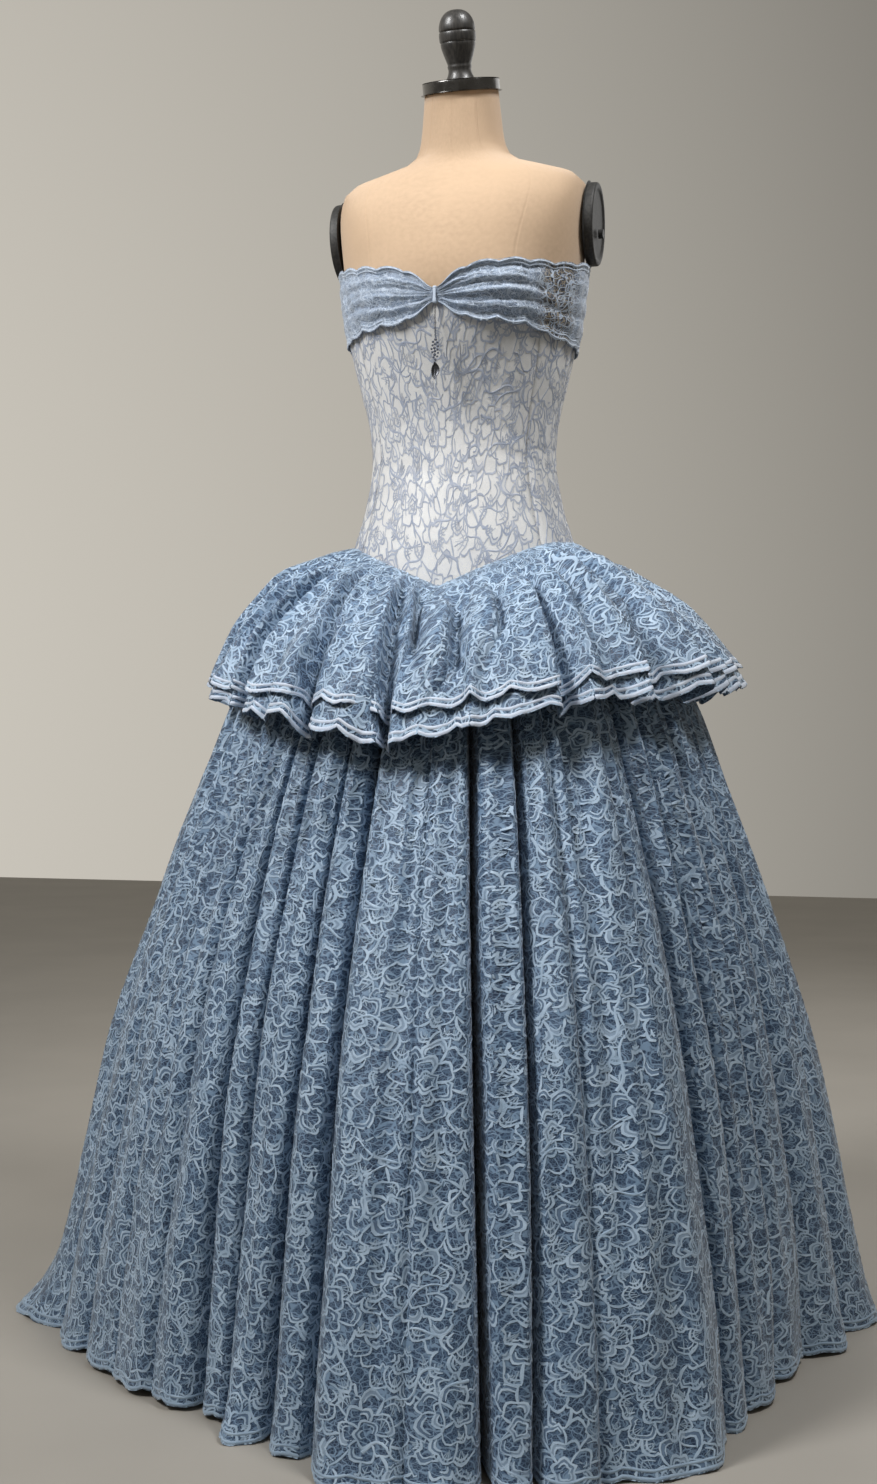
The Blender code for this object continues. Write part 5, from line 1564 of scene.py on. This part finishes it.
def fold_table(folds, column, index, u, crest):
    """A column of a fold table at places in its folds, for their crests or their grooves."""
    values = np.array([fold[column] for fold in folds])
    own, after, before = values[index], values[(index + 1) % len(folds)], values[index - 1]
    if not crest:
        return own + (after - own) * u
    neighbour = np.where(u > 0.5, after, before)
    return own + ((own + neighbour) / 2 - own) * (2 * np.abs(u - 0.5)) ** 2


def fold_columns(folds, first, last, per_fold):
    """The fold and the place in it of each column from one groove to another."""
    number = next(i for i, fold in enumerate(folds) if fold[0] == first)
    index, place = [], []
    while True:
        end = folds[(number + 1) % len(folds)][0]
        span = (end - folds[number][0]) % 360.0
        count = per_fold(span)
        index += [number] * count
        place += [k / count - GROOVE_DETAIL * math.sin(2 * math.pi * k / count)
                  for k in range(count)]
        if end % 360.0 == last % 360.0:
            return np.array(index + [number]), np.array(place + [1.0])
        number = (number + 1) % len(folds)


def fold_angles(folds, index, u):
    starts = np.array([fold[0] for fold in folds])
    ends = np.append(starts[1:], starts[0] + 360.0)
    return starts[index] + (ends - starts)[index] * u


def eased_step(values, low, high):
    share = np.clip((values - low) / (high - low), 0.0, 1.0)
    return share * share * (3 - 2 * share)


def between(values, start, full, fading, end):
    """A share that rises from a start until full, and falls from fading until an end."""
    return eased_step(values, start, full) * (1 - eased_step(values, fading, end))


def skirt_drape(first, last):
    """The outer face of one skirt panel, with its folds, soft creases and scalloped hem."""
    index, u = fold_columns(SKIRT_FOLDS, first, last, lambda span: int(8 + FOLD_COLUMN * span))
    drops = np.concatenate([np.linspace(0.0, 0.10, 6),
                            np.linspace(0.125, 0.95, SKIRT_ROWS - 12),
                            np.linspace(0.96, 1.0, 6)])[:, None]
    shares = read_rows(SKIRT_SPREAD, drops[:, 0])[:, 4:]
    slow, groove_share, kick_share = (column[..., None] for column in shares.T)
    angles = fold_angles(SKIRT_FOLDS, index, u)[None, :]
    angles = angles + fold_table(SKIRT_FOLDS, 1, index, u, False) * (1.0 - drops)
    shape = crest_shape(u)
    reach = slow * fold_table(SKIRT_FOLDS, 3, index, u, True)
    reach = reach - groove_share * fold_table(SKIRT_FOLDS, 2, index, u, False) * (1.0 - shape)
    reach = reach + kick_share * fold_table(SKIRT_FOLDS, 4, index, u, True) * shape

    inset = np.minimum(u, 1.0 - u)
    spans = fold_angles(SKIRT_FOLDS, index, 1.0) - fold_angles(SKIRT_FOLDS, index, 0.0)
    strengths = np.interp([fold[0] for fold in SKIRT_FOLDS], *zip(*SLITS))
    strength = strengths[(index + (u > 0.5)) % len(SKIRT_FOLDS)]
    slit = SLIT_DEPTH * strength * bell(inset * spans, 0.30 + 0.30 * strength)
    reach = reach - slit * eased_step(drops, *SLIT_FROM)
    lip = bell(np.where(u > 0.5, (1.0 - u) * spans, 90.0) - SLIT_LIP_PLACE, SLIT_LIP_WIDTH)
    lip = lip * np.minimum(strength, 1.0) * eased_step(drops, *SLIT_FROM)
    reach = reach + SLIT_LIP_RISE * lip
    calm = eased_step(inset, 0.0, GROOVE_CALM)
    for hem_angle, waist_angle, start, end, depth, wide in SOFT_CREASES:
        line = hem_angle + (waist_angle - hem_angle) * (1.0 - drops)
        there = between(drops, start - 0.08, start + 0.10, end - 0.12, end + 0.05)
        apart = angles_from(angles, line)
        reach = reach - CREASE_STRENGTH * calm * depth * there * bell(apart, wide)
        rim = bell(np.abs(apart) - 2.1 * wide, wide)
        reach = reach + CREASE_RIM * CREASE_STRENGTH * calm * depth * there * rim
    gathers = np.sin(angles * 1.93 + 0.7) + 0.6 * np.sin(angles * 3.31 + 1.9)
    reach = reach + GATHER_RIPPLE * gathers * between(drops, 0.10, 0.22, 0.22, 0.62) * calm
    slack = np.sin(angles * 0.61 + 9.0 * drops) * np.sin(angles * 0.23 - 7.0 * drops + 1.0)
    reach = reach + SLACK_DEPTH * slack * eased_step(drops, 0.25, 0.5) * calm

    rough = spread_points(angles, drops)[0]
    steps = np.linalg.norm(np.diff(rough[-1], axis=0), axis=-1)
    hem = np.concatenate([[0.0], np.cumsum(steps)])
    arch = np.abs(np.sin(math.pi * hem * HEM_FULLNESS / HEM_SCALLOP_WIDTH)) ** 0.55
    raised = HEM_SCALLOP_DEPTH * (1.0 - arch) * eased_step(drops, 0.93, 1.0)
    points, ways = spread_points(angles + SLIT_LIP_LEAN * lip, drops)
    points = points + ways * reach[..., None]
    points[..., 2] += LIFT_SHARE * drops * fold_table(SKIRT_FOLDS, 5, index, u, True) + raised
    return drape_of(points)


SKIRT_LACE = LacePattern(cell=0.0165, flower_spacing=0.105, flower_size=0.027, echoed=0.74,
                         stems=0.072, stretch=1.15, cord_half=0.00116, lift=0.0009)

blue_ground, tree, shader = new_finish("blue_satin_under_net", DEEP_BLUE, 0.45,
                                       {"Sheen Weight": 0.25})
place = flat_place(tree)
fine_net = net_lines(tree, place, 360.0, 0.16)
satin = mixed_colour(tree, mottled(tree, place, 0.06, 0.38, 0.66), DEEP_BLUE, SHADOW_BLUE)
waver = add_node(tree, "ShaderNodeTexNoise", {"Vector": place, "Scale": 95.0, "Detail": 1.0})
bent = add_node(tree, "ShaderNodeVectorMath",
                {0: waver.outputs["Color"], 1: (0.012, 0.012, 0.0), 2: place},
                operation="MULTIPLY_ADD")
open_net = net_lines(tree, bent.outputs[0], 135.0, 0.09, 0.035, 0.85)
paint(tree, shader, open_net, mixed_colour(tree, fine_net, satin, NET_BLUE), MESH_BLUE)
relief = add_node(tree, "ShaderNodeMath", {0: fine_net, 1: open_net}, operation="MAXIMUM")
emboss(tree, shader, relief.outputs[0], 0.7, BLUE_RELIEF_DEPTH)
blue_cords = [cord_finish(*row) for row in BLUE_CORDS]

for seed, (node, first, last, top_width, hem_width) in enumerate(SKIRT_PANELS):
    drape = skirt_drape(first, last)
    cut = flared_cut(top_width, hem_width, SKIRT_LENGTH)
    panel = cloth_piece(node + "_satin", drape, cut, SKIRT_CLOTH_WALL, blue_ground, "blue_lace")
    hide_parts(node)
    lace = lace_piece(node + "_lace", drape, cut, SKIRT_LACE, 70 + seed, blue_cords, "blue_lace")
    hem = edge_cords(node + "_hem_cords", drape, HEM_CORDS, SKIRT_LENGTH, blue_cords[1],
                     "blue_lace")


# The peplum. Two strips of the same lace gathered into the waist seam over the skirt, so
# that they stand out in deep flutes; the under layer shows below the upper one's edge.
PEPLUM_FLUTES = (
    # angle, groove, crest out
    (-180.0, 0.020, 0.036),
    (-160.0, 0.022, 0.030),
    (-140.0, 0.026, 0.038),
    (-118.0, 0.022, 0.028),
    (-98.0, 0.014, 0.020),
    (-78.0, 0.011, 0.016),
    (-58.0, 0.012, 0.024),
    (-40.0, 0.018, 0.030),
    (-21.0, 0.022, 0.032),
    (-2.0, 0.027, 0.030),
    (14.0, 0.010, 0.034),
    (31.0, 0.020, 0.038),
    (57.0, 0.030, 0.030),
    (76.0, 0.022, 0.036),
    (94.0, 0.020, 0.058),
    (116.0, 0.028, 0.030),
    (136.0, 0.022, 0.036),
    (158.0, 0.022, 0.030),
)
FLUTE_GROWTH = (
    # drop, share of the flute
    (0.000, 0.00),
    (0.012, 0.06),
    (0.035, 0.20),
    (0.075, 0.46),
    (0.125, 0.78),
    (0.190, 1.00),
    (0.220, 1.05),
)
PEPLUM_LAYERS = (
    # name, node, hem drop, layers below it, lace starts at, seed
    ("under", "peplum_lower", 0.212, 0.0, 0.45, 80),
    ("upper", "peplum_upper", 0.190, 1.0, 0.0, 81),
)
PEPLUM_WALL = 0.0018
PEPLUM_ROWS = 24
LAYER_GAP_TOP = 0.0004
LAYER_GAP_HEM = 0.0050
PEPLUM_PUCKER = 0.0030
PEPLUM_CREASE_STRENGTH = 2.6
PEPLUM_RIDGE = 2.1
PEPLUM_OVERLAP = 1.7
LEAST_STAND = 0.0030
UNDER_HEM = (
    # angle, how much longer the under layer hangs there, how wide that is in degrees
    (-6.0, 0.012, 26.0),
    (82.0, -0.004, 34.0),
    (-74.0, -0.010, 26.0),
)
CREASE_CALM = 0.15
PEPLUM_WAVES = (
    # reach at the edge, radians per degree, start
    (0.0060, 0.47, 1.0),
    (0.0045, 0.76, 2.6),
    (0.0030, 1.31, 0.4),
)
PEPLUM_CREASES = (
    # angle at the seam, angle at the hem, from share, to share, depth, width in degrees
    (-12.0, -2.0, 0.00, 1.20, 0.0085, 1.3),
    (-29.0, -19.5, 0.00, 0.50, 0.0070, 1.3),
    (-24.0, -20.5, 0.35, 1.20, 0.0060, 2.0),
    (-6.0, 5.0, 0.05, 0.70, 0.0055, 1.6),
    (9.0, 12.5, 0.15, 0.85, 0.0060, 2.0),
    (20.0, 24.0, 0.10, 0.70, 0.0045, 1.8),
    (33.0, 34.0, 0.10, 1.20, 0.0060, 1.8),
    (43.0, 44.0, 0.05, 0.60, 0.0045, 1.6),
    (50.0, 52.5, 0.00, 1.20, 0.0090, 1.4),
    (60.0, 65.0, 0.05, 0.70, 0.0050, 1.8),
    (72.0, 74.0, 0.00, 1.20, 0.0080, 2.2),
    (88.0, 88.0, 0.10, 0.70, 0.0035, 2.2),
    (104.0, 107.0, 0.05, 1.20, 0.0060, 1.8),
    (124.0, 127.0, 0.00, 0.80, 0.0055, 1.8),
    (148.0, 147.0, 0.05, 1.20, 0.0065, 1.8),
    (166.0, 168.0, 0.10, 0.80, 0.0050, 1.8),
    (-40.0, -40.0, 0.05, 1.20, 0.0075, 1.5),
    (-50.0, -49.0, 0.10, 0.80, 0.0050, 1.7),
    (-60.0, -58.0, 0.05, 1.20, 0.0075, 1.6),
    (-70.0, -68.0, 0.10, 0.75, 0.0045, 1.8),
    (-88.0, -89.0, 0.05, 1.20, 0.0060, 1.8),
    (-108.0, -107.0, 0.10, 0.80, 0.0055, 1.8),
    (-128.0, -129.0, 0.05, 1.20, 0.0065, 1.8),
    (-150.0, -151.0, 0.05, 1.20, 0.0060, 1.8),
    (-170.0, -169.0, 0.10, 0.80, 0.0050, 1.8),
)
PEPLUM_SCALLOP_WIDTH = 0.057
PEPLUM_SCALLOP_DEPTH = 0.0115
SIDE_SCALLOP_LOSS = 0.55
PEPLUM_FINENESS = 0.84
CONE_STEP, CONE_TURN = 0.004, 1.0
PEPLUM_CUT = (1.30, 2.40, 0.265)
PEPLUM_CLOTH_WALL = 0.0009
PEPLUM_RUN = 0.0074
LAST_ANGLE = 179.7
PEPLUM_RIPPLE = 0.0018
EDGE_CORDS = (
    # distance from the edge, width
    (0.0030, 0.0050),
    (0.0108, 0.0040),
)
BORDER_CORD = ("white_border_cord", (0.56, 0.64, 0.78), (0.66, 0.73, 0.84), 0.0010)


def cone_ways(angles, drops):
    """The ways square out of the skirt's smooth cone."""
    above = spread_points(angles, np.maximum(drops - CONE_STEP, 0.0))[0]
    below = spread_points(angles, drops + CONE_STEP)[0]
    right = spread_points(angles - CONE_TURN, drops)[0]
    left = spread_points(angles + CONE_TURN, drops)[0]
    return unit(np.cross(below - above, left - right))


def peplum_drape(hem_drop, layers_below):
    """The outer face of one peplum layer."""
    index, u = fold_columns(PEPLUM_FLUTES, -180.0, 180.0,
                            lambda span: int(5 + PEPLUM_FINENESS * span))
    angles = np.clip(fold_angles(PEPLUM_FLUTES, index, u), -LAST_ANGLE, LAST_ANGLE)
    around = np.cumsum(np.append(0.0, np.diff(angles))) * PEPLUM_RUN
    arch = np.abs(np.sin(math.pi * around / PEPLUM_SCALLOP_WIDTH + 2.0 * layers_below)) ** 0.55
    share = (np.linspace(0.0, 1.0, PEPLUM_ROWS) ** 1.25)[:, None]
    longer = sum(extra * bell(angles - place, wide) for place, extra, wide in UNDER_HEM)
    drops = share * (hem_drop + (1.0 - layers_below) * longer)
    plainer = 1.0 - SIDE_SCALLOP_LOSS * bell(np.abs(angles) - 88.0, 26.0)
    notch = PEPLUM_SCALLOP_DEPTH * plainer * (1.0 - arch) * eased_step(share, 0.80, 1.0)
    drops, angles = np.broadcast_arrays(drops - notch, angles[None, :])
    growth = read_rows(FLUTE_GROWTH, drops)[..., 0]
    shape = crest_shape(u)
    flute = fold_table(PEPLUM_FLUTES, 2, index, u, True)
    flute = flute - fold_table(PEPLUM_FLUTES, 1, index, u, False) * (1.0 - shape)
    gap = LAYER_GAP_TOP + (LAYER_GAP_HEM - LAYER_GAP_TOP) * growth
    offset = gap + growth * flute + PEPLUM_WALL
    offset = offset + layers_below * (PEPLUM_WALL + gap)
    inset = np.minimum(u, 1.0 - u)
    calm = eased_step(inset, 0.0, CREASE_CALM)
    pucker = (0.5 + 0.5 * np.sin(angles * 2.15)) * (0.75 + 0.25 * np.sin(angles * 0.9 + 1.0))
    offset = offset + PEPLUM_PUCKER * pucker * between(drops, 0.0, 0.010, 0.03, 0.12)
    ripple = np.sin(angles * 1.05 + 24.0 * drops) * calm * eased_step(drops, 0.04, 0.10)
    offset = offset + PEPLUM_RIPPLE * ripple
    for reach, pace, start in PEPLUM_WAVES:
        wave = np.sin(angles * pace + start) * (0.3 + 0.7 * shape)
        offset = offset + reach * wave * eased_step(share, 0.25, 1.0)
    lean = np.zeros_like(offset)
    for seam_angle, hem_angle, start, end, depth, wide in PEPLUM_CREASES:
        line = seam_angle + (hem_angle - seam_angle) * share ** 0.7
        there = between(share, start, start + 0.22, end - 0.2, end)
        apart = angles_from(angles, line)
        offset = offset - PEPLUM_CREASE_STRENGTH * depth * there * bell(apart, wide)
        ridge = there * bell(apart + 2.3 * wide, 1.3 * wide)
        far_ridge = 0.4 * there * bell(apart - 2.3 * wide, 1.3 * wide)
        offset = offset + PEPLUM_RIDGE * depth * (ridge + far_ridge)
        lean = lean + PEPLUM_OVERLAP * wide * ridge
    lowest = PEPLUM_WALL + LAYER_GAP_TOP + growth * LEAST_STAND
    offset = np.maximum(offset, lowest + layers_below * (PEPLUM_WALL + gap))
    angles = np.clip(angles + lean, -LAST_ANGLE, LAST_ANGLE)
    ways = cone_ways(angles, np.maximum(drops, 0.002))
    points = spread_points(angles, drops)[0] + ways * offset[..., None]
    return drape_of(points)


PEPLUM_LACE = SKIRT_LACE._replace(flower_spacing=0.090, cell=0.0170)

border_cord = cord_finish(*BORDER_CORD)
for word, node, hem_drop, layers_below, lace_from, seed in PEPLUM_LAYERS:
    drape = peplum_drape(hem_drop, layers_below)
    top_width, hem_width, length = PEPLUM_CUT
    cut = flared_cut(*PEPLUM_CUT)
    layer = cloth_piece("peplum_" + word + "_satin", drape, cut, PEPLUM_CLOTH_WALL, blue_ground,
                        "blue_lace")
    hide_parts(node)
    lace = lace_piece("peplum_" + word + "_lace", drape, cut, PEPLUM_LACE, seed, blue_cords,
                      "blue_lace", lace_from)
    hem = edge_cords("peplum_" + word + "_edge_cords", drape, EDGE_CORDS, length, border_cord,
                     "blue_lace")
